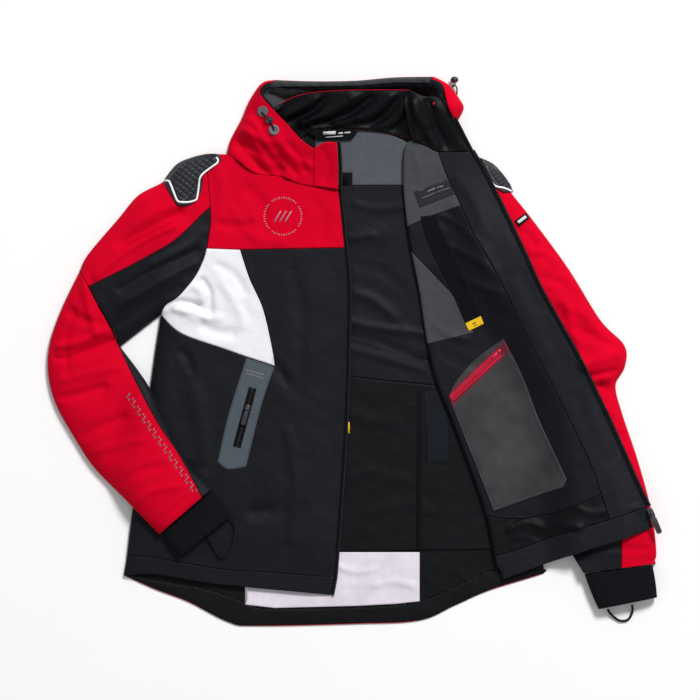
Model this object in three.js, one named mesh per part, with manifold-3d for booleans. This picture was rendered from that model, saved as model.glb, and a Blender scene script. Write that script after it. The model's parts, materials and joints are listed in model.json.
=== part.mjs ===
// A men's size L hooded softshell riding jacket, laid on its back with the left front turned open.
// Millimetres, +Z up. X runs across the chest and Y from the hem to the hood.
// Each cloth piece is a wall between two height surfaces, cut to the piece's own outline.
// All the surfaces share one lattice, so that stacked layers keep their clearance everywhere.
import * as THREE from "three";
import { mergeVertices } from "three/addons/utils/BufferGeometryUtils.js";
import Module from "manifold-3d";

const wasm = await Module();
wasm.setup();

// Driving dimensions
const SHELL = 1.6; // softshell cloth
const LINING = 1.2; // mesh and stretch lining
const TRIM = 1; // tapes, pockets and patches sewn on a panel
const SEAM = 0.3; // gap between neighbours at a seam
const OVER = 0.5; // gap under a piece that lies on a panel
const SPAN_STEPS = 1; // straight steps between two points of an outline
const LINING_LEVEL = SHELL + SEAM; // underside of the back lining
const FRONT_LEVEL = 2.4; // underside of the closed front at its side fold
const FRONT_LOFT = 11; // air between the closed front and the back
const FRONT_ROUND = 30; // width of the rounded side fold
const ARM_LOFT = 24; // a sleeve's hollow height
const ARM_ROUND = 55; // width of a sleeve's rounded edge
const FOREARM_LOFT = 20;
const FOREARM_ROUND = 42;
const SIDE_LEVEL = 3.7; // underside of the open front's side strip, on the back lining
const OPEN_LEVEL = 9; // underside of the turned front where it leaves its fold
const HOOD_LOFT = 34; // rim of the hood above its base
const SKIN = 2; // a wall's inner face starts this far inside its outer edge
const CUFF_WALL = 2.2; // rib knit

// The lattice is close-set over the sleeves and side folds, and open over the flat middle.
const stops = (from, to, step) => Array.from({ length: Math.round((to - from) / step) }, (_, i) =>
  from + i * step);
const LATTICE_X = [...stops(-482, -202, 20), ...stops(-202, -28, 58), ...stops(-28, 77, 35),
  ...stops(77, 497, 28)];
const LATTICE_Y = [...stops(-468, 252, 36), ...stops(252, 472, 22)];

// Colours
const RED = 0xd60a2c;
const BLACK = 0x232327;
const LINING_BLACK = 0x1d1d21;
const MESH_GREY = 0x55585e;
const TRIM_BLUE = 0x4d565f;
const WHITE = 0xeceef6;
const INNER_WHITE = 0xe8e0ee;
const POCKET_GREY = 0x3a3a3c;
const RUBBER = 0x17171a;
const YELLOW = 0xf2b81f;

const clamp = (v) => Math.min(1, Math.max(0, v));
const mix = (a, b, t) => a + (b - a) * t;
const smooth = (from, to, v) => {
  const s = clamp((v - from) / (to - from));
  return s * s * (3 - 2 * s);
};
const rounded = (d, radius) => Math.sqrt(1 - (1 - clamp(d / radius)) ** 2);

// A smooth line through hand-placed points.
function bend(...points) {
  const spline = new THREE.SplineCurve(points.map(([x, y]) => new THREE.Vector2(x, y)));
  return spline.getPoints(SPAN_STEPS * (points.length - 1));
}

// A line of straight runs.
const line = (...points) => points.map(([x, y]) => new THREE.Vector2(x, y));
const back = (points) => [...points].reverse();

// The part of a line between two of the points that it was made from.
const span = (points, from, to = Infinity) => points.slice(from * SPAN_STEPS, to * SPAN_STEPS + 1);
const shifted = (points, dx, dy) => points.map((p) => new THREE.Vector2(p.x + dx, p.y + dy));

// Joins lines end to end into one closed outline, with no point given twice.
function outline(...lines) {
  const points = [];
  for (const p of lines.flat()) {
    if (!points.length || points[points.length - 1].distanceTo(p) > 0.5) points.push(p);
  }
  if (points[0].distanceTo(points[points.length - 1]) <= 0.5) points.pop();
  return THREE.ShapeUtils.isClockWise(points) ? back(points) : points;
}

function inside(shape, x, y) {
  let odd = false;
  shape.forEach((a, i) => {
    const b = shape[(i + 1) % shape.length];
    if (a.y > y !== b.y > y && x < ((b.x - a.x) * (y - a.y)) / (b.y - a.y) + a.x) odd = !odd;
  });
  return odd;
}

function distance(points, x, y) {
  let least = Infinity;
  for (let i = 0; i + 1 < points.length; i++) {
    const a = points[i];
    const dx = points[i + 1].x - a.x;
    const dy = points[i + 1].y - a.y;
    const t = clamp(((x - a.x) * dx + (y - a.y) * dy) / (dx * dx + dy * dy));
    least = Math.min(least, Math.hypot(x - a.x - t * dx, y - a.y - t * dy));
  }
  return least;
}

// ---------------------------------------------------------------- seams and edges
const SIDE_R = bend([-291, 56], [-300, 0], [-308, -60], [-320, -140], [-334, -237], [-342, -304],
  [-347, -335]);
const ARMHOLE_TOP_R = bend([-225, 297], [-220, 255], [-217, 217]);
const ARMHOLE_R = bend([-217, 217], [-216, 200], [-218, 180], [-222, 155]);
const UNDERARM_R = bend([-222, 155], [-227, 138], [-240, 112], [-265, 82], [-283, 70], [-291, 56]);
const ARM_OUT_R = bend([-225, 297], [-245, 291], [-265, 281], [-287, 256], [-325, 235], [-355, 200],
  [-400, 147], [-412, 123]);
const ARM_IN_R = line([-291, 56], [-352, 8]);
const ARM_SEAM_R = bend([-217, 217], [-235, 200], [-268, 168], [-300, 148], [-345, 124], [-398, 98]);
const ELBOW_OUT_R = line([-412, 123], [-398, 98]);
const ELBOW_MID_R = bend([-398, 98], [-388, 78], [-372, 50], [-358, 18]);
const ELBOW_IN_R = line([-358, 18], [-352, 8]);
const FORE_OUT_R = bend([-412, 123], [-440, 65], [-458, 12], [-460, -35], [-448, -80], [-420, -130],
  [-390, -175], [-340, -225], [-293, -273]);
const FORE_SEAM_R = bend([-358, 18], [-330, -40], [-295, -105], [-262, -155], [-228, -217]);
const FORE_IN_R = bend([-352, 8], [-308, -52], [-285, -100], [-262, -145], [-240, -178], [-210, -202]);

const FRONT_TOP_EDGE = bend([-27, 313], [-25, 280], [-25, 243]);
const YOKE_EDGE = bend([-25, 243], [-22, 215], [-18, 175], [-16, 156]);
const FRONT_EDGE = bend([-16, 156], [-11, 100], [-12, 0], [-16, -110], [-25, -250], [-32, -338]);
const HEM_EDGE_R = line([-32, -338], [-37, -364]);
const COLLAR_SEAM = bend([-192, 296], [-176, 286], [-150, 268], [-110, 262], [-85, 252], [-62, 248]);
const COLLAR_FRONT_SEAM = line([-62, 248], [-25, 243]);
const YOKE_SEAM_SIDE = line([-222, 155], [-172, 153]);
const YOKE_SEAM = line([-172, 153], [-16, 156]);
const WHITE_EDGE = bend([-172, 153], [-158, 110], [-138, 65], [-125, 10], [-120, -21]);
const WHITE_BOTTOM = bend([-291, 56], [-272, 36], [-250, 23], [-200, 6], [-160, -8], [-120, -21]);
const HEM_SEAM_R = bend([-342, -304], [-300, -308], [-200, -325], [-125, -330], [-32, -338]);
const HEM_R = bend([-347, -335], [-300, -333], [-220, -346], [-165, -352], [-80, -360], [-37, -364]);

const NECK = bend([-80, 317], [-60, 333], [0, 334], [50, 328], [85, 318]);
const NECK_R = line([-192, 296], [-80, 317]);
const NECK_L = line([85, 318], [124, 299], [172, 300]);
const SHOULDER_R = line([-225, 297], [-192, 296]);
const SHOULDER_L = line([172, 300], [180, 291]);
const ARMHOLE_L = bend([180, 291], [172, 230], [172, 190], [176, 150], [190, 110], [231, 55]);
const SIDE_L = bend([231, 55], [245, -30], [262, -150], [283, -325]);
const HEM_BAND = bend([-347, -335], [-250, -351], [-200, -363], [-150, -383], [-120, -386], [0, -383],
  [80, -378], [130, -362], [200, -330], [283, -325]);
const HEM_BACK = bend([-347, -335], [-300, -356], [-250, -375], [-190, -405], [-150, -411], [0, -408],
  [95, -403], [150, -380], [200, -358], [283, -332], [283, -325]);

const ARM_OUT_L = bend([180, 291], [215, 270], [235, 238], [265, 200], [320, 125], [368, 48], [404, 10],
  [405, -22], [391, -50], [400, -90], [425, -165], [445, -240], [452, -298], [450, -312]);
const ARM_IN_L = bend([231, 55], [262, -10], [292, -80], [312, -180], [325, -303]);
const ARM_END_L = line([325, -303], [343, -330], [398, -316]);
const ARM_END_RED_L = line([398, -316], [450, -312]);
const ARM_SEAM_L = bend([172, 190], [250, 120], [320, -20], [365, -150], [395, -260], [398, -316]);

const FOLD = bend([85, 318], [75, 305], [73, 250], [79, 188], [85, 150], [97, 90], [109, 12], [123, -45],
  [145, -100], [175, -180], [197, -245], [209, -305], [213, -322]);
const ZIP_L = bend([172, 300], [195, 260], [222, 205], [250, 145], [275, 90], [325, 0], [375, -100],
  [420, -200], [436, -232]);
const HEM_END_L = line([436, -232], [446, -262]);
const HEM_L = bend([222, -340], [283, -318], [350, -295], [400, -280], [446, -262]);
const HEM_SEAM_L = bend([209, -305], [240, -297], [300, -275], [380, -250], [436, -232]);
const FACING_IN = bend([124, 299], [140, 256], [158, 219], [175, 180], [215, 110], [250, 35], [300, -60],
  [350, -165], [367, -212], [380, -250]);
const MESH_LOW = bend([79, 188], [97, 196], [120, 206], [158, 219]);
const MESH_EDGE = bend([85, 150], [125, 108], [150, 80], [165, 48], [178, 29]);
const MESH_HEM = line([178, 29], [109, 12]);
const LOW_LINE = bend([197, -245], [235, -250], [300, -240], [367, -212]);

const HOOD_SIDE_R = bend([-192, 296], [-187, 318], [-170, 350], [-158, 378], [-140, 403], [-120, 408]);
const HOOD_TOP = bend([-120, 408], [-60, 406], [0, 407], [60, 412], [118, 413]);
const HOOD_SIDE_L = bend([118, 413], [140, 401], [158, 378], [163, 364], [152, 343]);
const RIM_R = bend([-62, 304], [-80, 317], [-100, 339], [-122, 362], [-138, 380], [-142, 390], [-135, 400],
  [-120, 404]);
const RIM_TOP = bend([-120, 404], [-60, 402], [0, 403], [60, 408], [114, 408]);
const RIM_L = bend([114, 408], [130, 400], [135, 380], [140, 362], [150, 344]);
const BAND_TOP = bend([-128, 395], [-60, 396], [0, 397], [60, 402], [111, 401]);
const COLLAR_TOP = bend([-122, 362], [-100, 377], [-65, 387], [0, 391], [83, 391]);
const COLLAR_BEND = bend([83, 391], [74, 378], [78, 345], [85, 318]);
const COLLAR_L = bend([83, 391], [105, 382], [124, 380], [137, 362], [149, 343], [163, 317], [172, 300]);
const COLLAR_R_TOP = bend([-62, 304], [-45, 313], [-27, 313]);

// ---------------------------------------------------------------- heights
const RIGHT_SHAPE = outline(ARM_OUT_R, back(ARM_IN_R), SIDE_R,
  line([-354, -440], [80, -440], [80, 340], [-225, 340]));
const FOREARM_SHAPE = outline(FORE_OUT_R, line([-293, -273], [-210, -202]), back(FORE_IN_R),
  line([-352, 8], [-412, 123]));
const SLEEVE_L_SHAPE = outline(ARM_OUT_L, back(ARM_END_RED_L), back(ARM_END_L), back(ARM_IN_L),
  back(ARMHOLE_L));

const HOOD_SHAPE = outline(HOOD_SIDE_R, HOOD_TOP, HOOD_SIDE_L, line([200, 200], [-250, 200]));

const inward = (shape, edges, x, y) =>
  (inside(shape, x, y) ? Math.min(...edges.map((e) => distance(e, x, y))) : 0);

// A fold is a soft ridge, or a trough where its rise is negative, along a straight run.
function folds(list, x, y) {
  let rise = 0;
  for (const [x0, y0, x1, y1, width, height] of list) {
    const d = distance(line([x0, y0], [x1, y1]), x, y);
    rise += height * (1 - smooth(0, width, d));
  }
  return rise;
}

const FRONT_FOLDS = [
  [-265, 80, -222, 62, 22, -2.5],
  [-118, -20, -98, -52, 20, -2],
  [-150, -240, -118, -236, 24, -2.5],
  [-280, 180, -385, 110, 26, 4],
  [-268, 205, -340, 172, 22, -3],
];

// Rise of the closed front and upper arm above the side fold, at a distance d inside it.
function frontRise(x, y, skin) {
  const d = Math.max(0, inward(RIGHT_SHAPE, [ARM_OUT_R, ARM_IN_R, SIDE_R], x, y) - skin);
  const arm = smooth(-215, -300, x) * smooth(0, 90, y);
  const toZip = mix(0.4, 1, smooth(-12, -90, x));
  const toHem = mix(0.6, 1, smooth(-340, -260, y));
  const loft = mix(FRONT_LOFT * toZip * toHem, ARM_LOFT, arm);
  return loft * rounded(d, mix(FRONT_ROUND, ARM_ROUND, arm)) + folds(FRONT_FOLDS, x, y) * smooth(6, 30, d);
}

const frontTop = (x, y) => FRONT_LEVEL + SHELL + frontRise(x, y, 0);
const frontUnder = (x, y) => Math.min(FRONT_LEVEL + frontRise(x, y, SKIN), frontTop(x, y) - SHELL);

// The forearm lies on the floor beside the body and climbs over its side fold.
function forearmFloor(x, y) {
  const sign = inside(RIGHT_SHAPE, x, y) ? 1 : -1;
  const climb = smooth(-45, 6, sign * distance(SIDE_R, x, y)) * smooth(90, 20, y);
  return Math.max((FRONT_LEVEL + SHELL + FRONT_LOFT + 1) * climb, sign > 0 && y < 0
    ? frontTop(x, y) + OVER : 0);
}

const FOREARM_FOLDS = [
  [-447, -8, -372, 12, 22, -4.5],
  [-440, -70, -380, -58, 22, -2.5],
  [-400, -120, -350, -100, 20, -2],
];

function forearmRise(x, y, skin) {
  const d = Math.max(0, inward(FOREARM_SHAPE, [FORE_OUT_R, FORE_IN_R], x, y) - skin);
  const atElbow = mix(ARM_LOFT, FOREARM_LOFT, smooth(60, -60, y));
  return atElbow * rounded(d, FOREARM_ROUND) + folds(FOREARM_FOLDS, x, y) * smooth(4, 25, d);
}

const forearmBase = (x, y) => forearmFloor(x, y) + SHELL + SEAM;
const forearmTop = (x, y) => forearmBase(x, y) + SHELL + forearmRise(x, y, 0);
const forearmUnder = (x, y) => Math.min(forearmBase(x, y) + forearmRise(x, y, SKIN),
  forearmTop(x, y) - SHELL);

const shoulderFlat = (y) => mix(0.35, 1, smooth(300, 120, y));

const SLEEVE_L_FOLDS = [
  [320, -18, 405, -24, 24, 3.5],
  [352, -52, 392, -52, 22, -4],
  [300, 60, 350, 30, 22, -2.5],
];

function sleeveRiseL(x, y, skin) {
  const edges = [ARM_OUT_L, ARM_IN_L, ARMHOLE_L];
  const d = Math.max(0, inward(SLEEVE_L_SHAPE, edges, x, y) - skin);
  const toCuff = mix(0.8, 1, smooth(-320, -240, y));
  const soft = folds(SLEEVE_L_FOLDS, x, y) * smooth(4, 25, d);
  return ARM_LOFT * shoulderFlat(y) * toCuff * rounded(d, ARM_ROUND) + soft;
}

const sleeveTopL = (x, y) => LINING_LEVEL + SHELL + sleeveRiseL(x, y, 0);
const sleeveUnderL = (x, y) => Math.min(LINING_LEVEL + sleeveRiseL(x, y, SKIN), sleeveTopL(x, y) - SHELL);

// The turned front leaves its fold low and lies over the left sleeve.
function openUnder(x, y) {
  const sign = inside(SLEEVE_L_SHAPE, x, y) || x > 330 ? 1 : -1;
  const over = smooth(-45, 20, sign * Math.min(distance(ARM_IN_L, x, y), distance(ARMHOLE_L, x, y)));
  const outer = distance(ARM_OUT_L, x, y);
  const lift = (ARM_LOFT - 1) * shoulderFlat(y) * over * mix(0.4, 1, smooth(0, 50, outer));
  return Math.max(OPEN_LEVEL + lift, inside(SLEEVE_L_SHAPE, x, y) ? sleeveTopL(x, y) + 1 : 0);
}

const OPEN_FOLDS = [
  [130, 128, 165, 60, 18, 2],
  [235, -268, 330, -258, 20, 2.5],
  [150, 220, 205, 120, 18, 2],
];

const openShellTop = (x, y) => openUnder(x, y) + SHELL;
const openLiningUnder = (x, y) => openShellTop(x, y) + SEAM + Math.max(0, folds(OPEN_FOLDS, x, y));
const openLiningTop = (x, y) => openLiningUnder(x, y) + LINING;

function hoodRise(x, y, skin) {
  const edges = [HOOD_SIDE_R, HOOD_TOP, HOOD_SIDE_L];
  const d = Math.max(0, inward(HOOD_SHAPE, edges, x, y) - skin);
  const soft = x < 0 ? mix(75, 14, smooth(345, 400, y)) : 20;
  const height = mix(12, HOOD_LOFT, smooth(245, 335, y));
  return height * rounded(d, soft) + folds([[-185, 320, -120, 285, 22, -3], [-160, 345, -112, 318, 16, 2.5]],
    x, y);
}

const hoodTop = (x, y) => LINING_LEVEL + SHELL + hoodRise(x, y, 0);
const hoodUnder = (x, y) => Math.min(LINING_LEVEL + hoodRise(x, y, SKIN), hoodTop(x, y) - SHELL);

// The hood's lining drops from the rim into the hollow behind the collar.
const wellTop = (x, y) => {
  const d = Math.min(distance(RIM_R, x, y), distance(RIM_TOP, x, y), distance(RIM_L, x, y));
  return LINING_LEVEL + LINING + HOOD_LOFT * mix(0.82, 0.25, smooth(6, 26, d));
};
const collarBackTop = (x, y) =>
  mix(6, HOOD_LOFT - 2, smooth(318, 402, y)) + folds([[-60, 345, -10, 380, 16, 3],
  [10, 345, 60, 378, 16, 3]], x, y);
const collarLeftTop = (x, y) => Math.max(mix(openLiningTop(x, y), HOOD_LOFT, smooth(300, 370, y)), 0)
  + folds([[92, 320, 92, 380, 12, 3]], x, y);

const BACK_FOLDS = [
  [5, 172, 40, 178, 22, 2],
  [10, 42, 70, 32, 24, 2],
  [10, 86, 50, 60, 22, 1.5],
];
const backPanelTop = (x, y) => LINING_LEVEL + LINING + folds(BACK_FOLDS, x, y);

const below = (surface, thickness) => (x, y) => surface(x, y) - thickness;
const above = (surface, gap) => (x, y) => surface(x, y) + gap;

// ---------------------------------------------------------------- solids
function solidOf(geometry) {
  const bare = geometry.clone();
  bare.deleteAttribute("normal");
  bare.deleteAttribute("uv");
  const merged = mergeVertices(bare, 1e-4);
  return new wasm.Manifold(
    new wasm.Mesh({
      numProp: 3,
      vertProperties: new Float32Array(merged.attributes.position.array),
      triVerts: new Uint32Array(merged.index.array),
    }),
  );
}

function geometryOf(solid) {
  const made = solid.getMesh();
  const geometry = new THREE.BufferGeometry();
  geometry.setAttribute("position", new THREE.BufferAttribute(new Float32Array(made.vertProperties), 3));
  geometry.setIndex(new THREE.BufferAttribute(new Uint32Array(made.triVerts), 1));
  geometry.computeVertexNormals();
  return geometry;
}

// Pulls a closed outline in by a distance, on its mitred corners.
function inset(shape, by) {
  return shape.map((p, i) => {
    const a = shape[(i + shape.length - 1) % shape.length];
    const b = shape[(i + 1) % shape.length];
    const u = p.clone().sub(a).normalize();
    const v = b.clone().sub(p).normalize();
    const mitre = new THREE.Vector2(-u.y - v.y, u.x + v.x);
    const reach = by / Math.max(0.35, mitre.lengthSq() / 2);
    return p.clone().addScaledVector(mitre, reach);
  });
}

function prism(shape, low, high) {
  const geometry = new THREE.ExtrudeGeometry(new THREE.Shape(shape),
    { depth: high - low, bevelEnabled: false });
  return geometry.translate(0, 0, low);
}

// The stretch of lattice stops that covers a range, with one to spare at each end.
function covering(lattice, values) {
  const first = lattice.findLastIndex((v) => v < Math.min(...values));
  const last = lattice.findIndex((v) => v > Math.max(...values));
  return lattice.slice(first, last + 1);
}

// The wall between two height surfaces over the lattice cells that an outline touches.
function slab(shape, top, bottom) {
  const xs = covering(LATTICE_X, shape.map((p) => p.x));
  const ys = covering(LATTICE_Y, shape.map((p) => p.y));
  const across = xs.length;
  const along = ys.length;
  const layer = across * along;
  const positions = [];
  for (const surface of [top, bottom]) {
    for (const y of ys) for (const x of xs) positions.push(x, y, surface(x, y));
  }
  const index = [];
  for (let j = 0; j + 1 < along; j++) {
    for (let i = 0; i + 1 < across; i++) {
      const a = j * across + i;
      const [b, c, d] = [a + 1, a + across, a + across + 1];
      index.push(a, b, d, a, d, c);
      index.push(layer + a, layer + d, layer + b, layer + a, layer + c, layer + d);
    }
  }
  const rim = [];
  for (let i = 0; i + 1 < across; i++) rim.push(i);
  for (let j = 0; j + 1 < along; j++) rim.push(j * across + across - 1);
  for (let i = across - 1; i > 0; i--) rim.push((along - 1) * across + i);
  for (let j = along - 1; j > 0; j--) rim.push(j * across);
  rim.forEach((a, k) => {
    const b = rim[(k + 1) % rim.length];
    index.push(b, a, layer + a, b, layer + a, layer + b);
  });
  const geometry = new THREE.BufferGeometry();
  geometry.setAttribute("position", new THREE.Float32BufferAttribute(positions, 3));
  geometry.setIndex(index);
  return geometry;
}

function cutWall(shape, top, bottom, gap = SEAM / 2) {
  const cutter = solidOf(prism(inset(shape, gap), -3, 90));
  return solidOf(slab(shape, top, bottom)).intersect(cutter);
}

const jacket = new THREE.Group();
const finish = (color, roughness, metalness = 0) => ({ color, roughness, metalness });
const cloth = (color) => finish(color, 0.85);

function add(name, geometry, look) {
  const mesh = new THREE.Mesh(geometry, new THREE.MeshStandardMaterial(look));
  mesh.name = name;
  jacket.add(mesh);
  return mesh;
}

const piece = (name, look, shape, top, bottom) => add(name, geometryOf(cutWall(shape, top, bottom)), look);

// A flat piece needs no lattice.
const flat = (name, look, shape, low, high) => add(name, prism(inset(shape, SEAM / 2), low, high), look);

// A patch of even thickness that lies on a surface.
const patch = (name, look, shape, surface, gap = OVER, thickness = TRIM) =>
  piece(name, look, shape, above(surface, gap + thickness), above(surface, gap));

// ---------------------------------------------------------------- back
flat("back_body", cloth(BLACK), outline(SHOULDER_R, NECK_R, NECK, NECK_L, SHOULDER_L, ARMHOLE_L, SIDE_L,
  back(HEM_BAND), back(SIDE_R), back(UNDERARM_R), back(ARMHOLE_R), back(ARMHOLE_TOP_R)), 0, SHELL);
flat("back_hem_band", cloth(BLACK), outline(HEM_BACK, back(HEM_BAND)), 0, SHELL);

const LINING_TOP = LINING_LEVEL + LINING;
const backLining = (name, look, ...lines) => flat(name, look, outline(...lines), LINING_LEVEL, LINING_TOP);
const backPatch = (name, look, ...corners) =>
  flat(name, look, outline(line(...corners)), LINING_TOP + SEAM, LINING_TOP + SEAM + TRIM);
const PANEL_TOP = line([-60, 250], [112, 250]);
const POCKET_HEM = bend([-60, -30], [-12, -36], [50, -43], [150, -52]);
const LOWER_HEM = line([-60, -300], [230, -296]);
backLining("back_lining_yoke", cloth(MESH_GREY), span(NECK, 1, 3), line([84, 312], [112, 250]),
  back(PANEL_TOP));
piece("back_pocket_panel", cloth(BLACK), outline(PANEL_TOP, line([112, 250], [150, -52]), back(POCKET_HEM)),
  backPanelTop, below(backPanelTop, LINING));
backLining("back_lining_lower", cloth(LINING_BLACK), POCKET_HEM, line([150, -52], [230, -296]),
  back(LOWER_HEM));
backLining("back_lining_white", cloth(INNER_WHITE), line([-165, -300], [97, -300], [97, -374]),
  line([60, -378], [0, -381], [-120, -384], [-165, -379]));
backPatch("back_lining_tape", cloth(RUBBER), [92, -58], [100, -58], [100, -296], [92, -296]);
backPatch("pocket_reverse", cloth(TRIM_BLUE), [106, -58], [121, -58], [139, -98], [139, -165], [106, -165]);

// ---------------------------------------------------------------- right front
const front = (name, look, ...lines) => piece(name, look, outline(...lines), frontTop, frontUnder);
front("yoke_r", cloth(RED), SHOULDER_R, COLLAR_SEAM, COLLAR_FRONT_SEAM, YOKE_EDGE, back(YOKE_SEAM),
  back(YOKE_SEAM_SIDE), back(ARMHOLE_R), back(ARMHOLE_TOP_R));
front("white_panel_r", cloth(WHITE), YOKE_SEAM_SIDE, WHITE_EDGE, back(WHITE_BOTTOM), back(UNDERARM_R));
front("front_main_r", cloth(BLACK), YOKE_SEAM, FRONT_EDGE, back(HEM_SEAM_R),
  back(span(SIDE_R, 0, 5)), WHITE_BOTTOM, back(WHITE_EDGE));
front("front_hem_r", cloth(BLACK), HEM_SEAM_R, HEM_EDGE_R, back(HEM_R), back(span(SIDE_R, 5)));

const WHOLE_EDGE = [...FRONT_TOP_EDGE, ...YOKE_EDGE, ...FRONT_EDGE, ...HEM_EDGE_R];
const TAPE_WIDTH = 6;
const edgeTop = (x, y) => (y > 243 ? hoodTop(x, y) : frontTop(x, y));
piece("zip_tape_r", cloth(RUBBER), outline(WHOLE_EDGE, back(shifted(WHOLE_EDGE, TAPE_WIDTH, 0))),
  below(edgeTop, 0.3), below(edgeTop, 1.4));

// Hand pocket: a trim panel, its zip, a slider and a pull tab.
const POCKET_TRIM = outline(bend([-163, -9], [-130, -19], [-121, -24]),
  bend([-121, -24], [-140, -80], [-163, -172]),
  bend([-163, -172], [-190, -176], [-206, -165]), bend([-206, -165], [-190, -95], [-163, -9]));
patch("pocket_trim", cloth(TRIM_BLUE), POCKET_TRIM, frontTop);
const pocketTop = above(frontTop, OVER + TRIM);
patch("pocket_zip", cloth(RUBBER), outline(line([-159, -52], [-147, -55], [-171, -144], [-183, -141])),
  pocketTop);

// ---------------------------------------------------------------- right sleeve
front("sleeve_r_upper_red", cloth(RED), ARM_OUT_R, ELBOW_OUT_R, back(ARM_SEAM_R), back(ARMHOLE_TOP_R));
front("sleeve_r_upper_black", cloth(BLACK), ARM_SEAM_R, ELBOW_MID_R, ELBOW_IN_R, back(ARM_IN_R),
  back(UNDERARM_R),
  back(ARMHOLE_R));
flat("sleeve_r_upper_back", cloth(BLACK), outline(ARM_OUT_R, ELBOW_OUT_R, ELBOW_MID_R, ELBOW_IN_R,
  back(ARM_IN_R),
  back(UNDERARM_R), back(ARMHOLE_R), back(ARMHOLE_TOP_R)), 0, SHELL);

const FORE_END_RED = line([-293, -273], [-228, -217]);
const FORE_END_BLACK = line([-228, -217], [-210, -202]);
const forearm = (name, look, ...lines) => piece(name, look, outline(...lines), forearmTop, forearmUnder);
forearm("sleeve_r_fore_red", cloth(RED), FORE_OUT_R, FORE_END_RED, back(FORE_SEAM_R), back(ELBOW_MID_R),
  back(ELBOW_OUT_R));
forearm("sleeve_r_fore_black", cloth(BLACK), FORE_SEAM_R, FORE_END_BLACK, back(FORE_IN_R), back(ELBOW_IN_R));
piece("sleeve_r_fore_back", cloth(BLACK), outline(FORE_OUT_R, FORE_END_RED, FORE_END_BLACK, back(FORE_IN_R),
  back(ELBOW_IN_R), back(ELBOW_MID_R), back(ELBOW_OUT_R)), above(forearmFloor, SHELL), forearmFloor);

// ---------------------------------------------------------------- left sleeve
const sleeveL = (name, look, ...lines) => piece(name, look, outline(...lines), sleeveTopL, sleeveUnderL);
sleeveL("sleeve_l_red", cloth(RED), ARM_OUT_L, back(ARM_END_RED_L), back(ARM_SEAM_L),
  back(span(ARMHOLE_L, 0, 2)));
sleeveL("sleeve_l_black", cloth(BLACK), ARM_SEAM_L, back(ARM_END_L), back(ARM_IN_L),
  back(span(ARMHOLE_L, 2)));
flat("sleeve_l_back", cloth(BLACK), outline(ARM_OUT_L, back(ARM_END_RED_L), back(ARM_END_L), back(ARM_IN_L),
  back(ARMHOLE_L)), 0, SHELL);

// ---------------------------------------------------------------- cuffs and thumb loops
// A closed geometry whose faces all point out, or all in: they are turned to point out.
function outwardGeometry(positions, index) {
  const at = (i) => new THREE.Vector3(...positions.slice(3 * i, 3 * i + 3));
  let volume = 0;
  for (let i = 0; i < index.length; i += 3) {
    volume += at(index[i]).dot(at(index[i + 1]).cross(at(index[i + 2])));
  }
  const geometry = new THREE.BufferGeometry();
  geometry.setAttribute("position", new THREE.Float32BufferAttribute(positions, 3));
  geometry.setIndex(volume > 0 ? index : [...index].reverse());
  geometry.computeVertexNormals();
  return geometry;
}

// A flattened tube of even wall from a start line to an end line, both across the sleeve.
function cuff(name, start, end, startLow, endLow, height) {
  const sides = 14;
  const ring = (points, low, pull) => Array.from({ length: sides }, (_, k) => {
    const turn = (2 * Math.PI * k) / sides;
    const across = new THREE.Vector3().subVectors(points[1], points[0]);
    const half = across.length() / 2 - pull;
    const middle = points[0].clone().addScaledVector(across, 0.5);
    const side = Math.sign(Math.cos(turn)) * Math.abs(Math.cos(turn)) ** 0.6;
    const rise = Math.sign(Math.sin(turn)) * Math.abs(Math.sin(turn)) ** 0.6;
    return middle.addScaledVector(across.normalize(), half * side)
      .add(new THREE.Vector3(0, 0, low + height / 2 + (height / 2 - pull) * rise));
  });
  const rings = [ring(start, startLow, 0), ring(end, endLow, 0), ring(end, endLow, CUFF_WALL),
    ring(start, startLow, CUFF_WALL)];
  const positions = rings.flat().flatMap((p) => [p.x, p.y, p.z]);
  const index = [];
  rings.forEach((_, r) => {
    const next = (r + 1) % rings.length;
    for (let k = 0; k < sides; k++) {
      const k1 = (k + 1) % sides;
      const [a, b, c, d] = [r * sides + k, r * sides + k1, next * sides + k, next * sides + k1];
      index.push(a, d, b, a, c, d);
    }
  });
  return add(name, outwardGeometry(positions, index), cloth(RUBBER));
}

const point = (x, y, z = 0) => new THREE.Vector3(x, y, z);
const CUFF_R_LOW = forearmFloor(-236, -240) + 0.4;
cuff("cuff_r", [point(-286, -268.4), point(-212, -205.2)], [point(-262, -305), point(-183, -243)], CUFF_R_LOW,
  CUFF_R_LOW, 13);
cuff("cuff_l", [point(344, -332.5), point(445, -319)], [point(364, -385), point(453, -367)], 0.3, 0.3, 20);

// A round cord through points; a thumb loop's two ends go into the cuff.
function cord(name, look, diameter, ...points) {
  const path = new THREE.CatmullRomCurve3(points.map((p) => point(...p)));
  const sides = 8;
  const ring = Array.from({ length: sides }, (_, k) => {
    const turn = (2 * Math.PI * k) / sides;
    return new THREE.Vector2((diameter / 2) * Math.cos(turn), (diameter / 2) * Math.sin(turn));
  });
  const options = { steps: 3 * points.length, extrudePath: path, bevelEnabled: false };
  return add(name, new THREE.ExtrudeGeometry(new THREE.Shape(ring), options), look);
}

const LOOP_R = 3;
const LOOP_L = 3.5;
const loops = [
  cord("thumb_loop_r", cloth(RUBBER), LOOP_R, [-184, -247, 22.5], [-180, -258, 20], [-180, -272, 17.6],
    [-185, -295, 16.2], [-195, -307, 15.4], [-205, -304, 15.6], [-212, -292, 16.6], [-216, -282, 19],
    [-218, -275.5, 22]),
  cord("thumb_loop_l", cloth(RUBBER), LOOP_L, [379, -386, 8], [382, -391, 5], [389, -398, 2.6],
    [398, -403, 2],
    [408, -402, 2], [414, -395, 2.6], [416, -386, 5], [415, -379.5, 8]),
];

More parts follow.
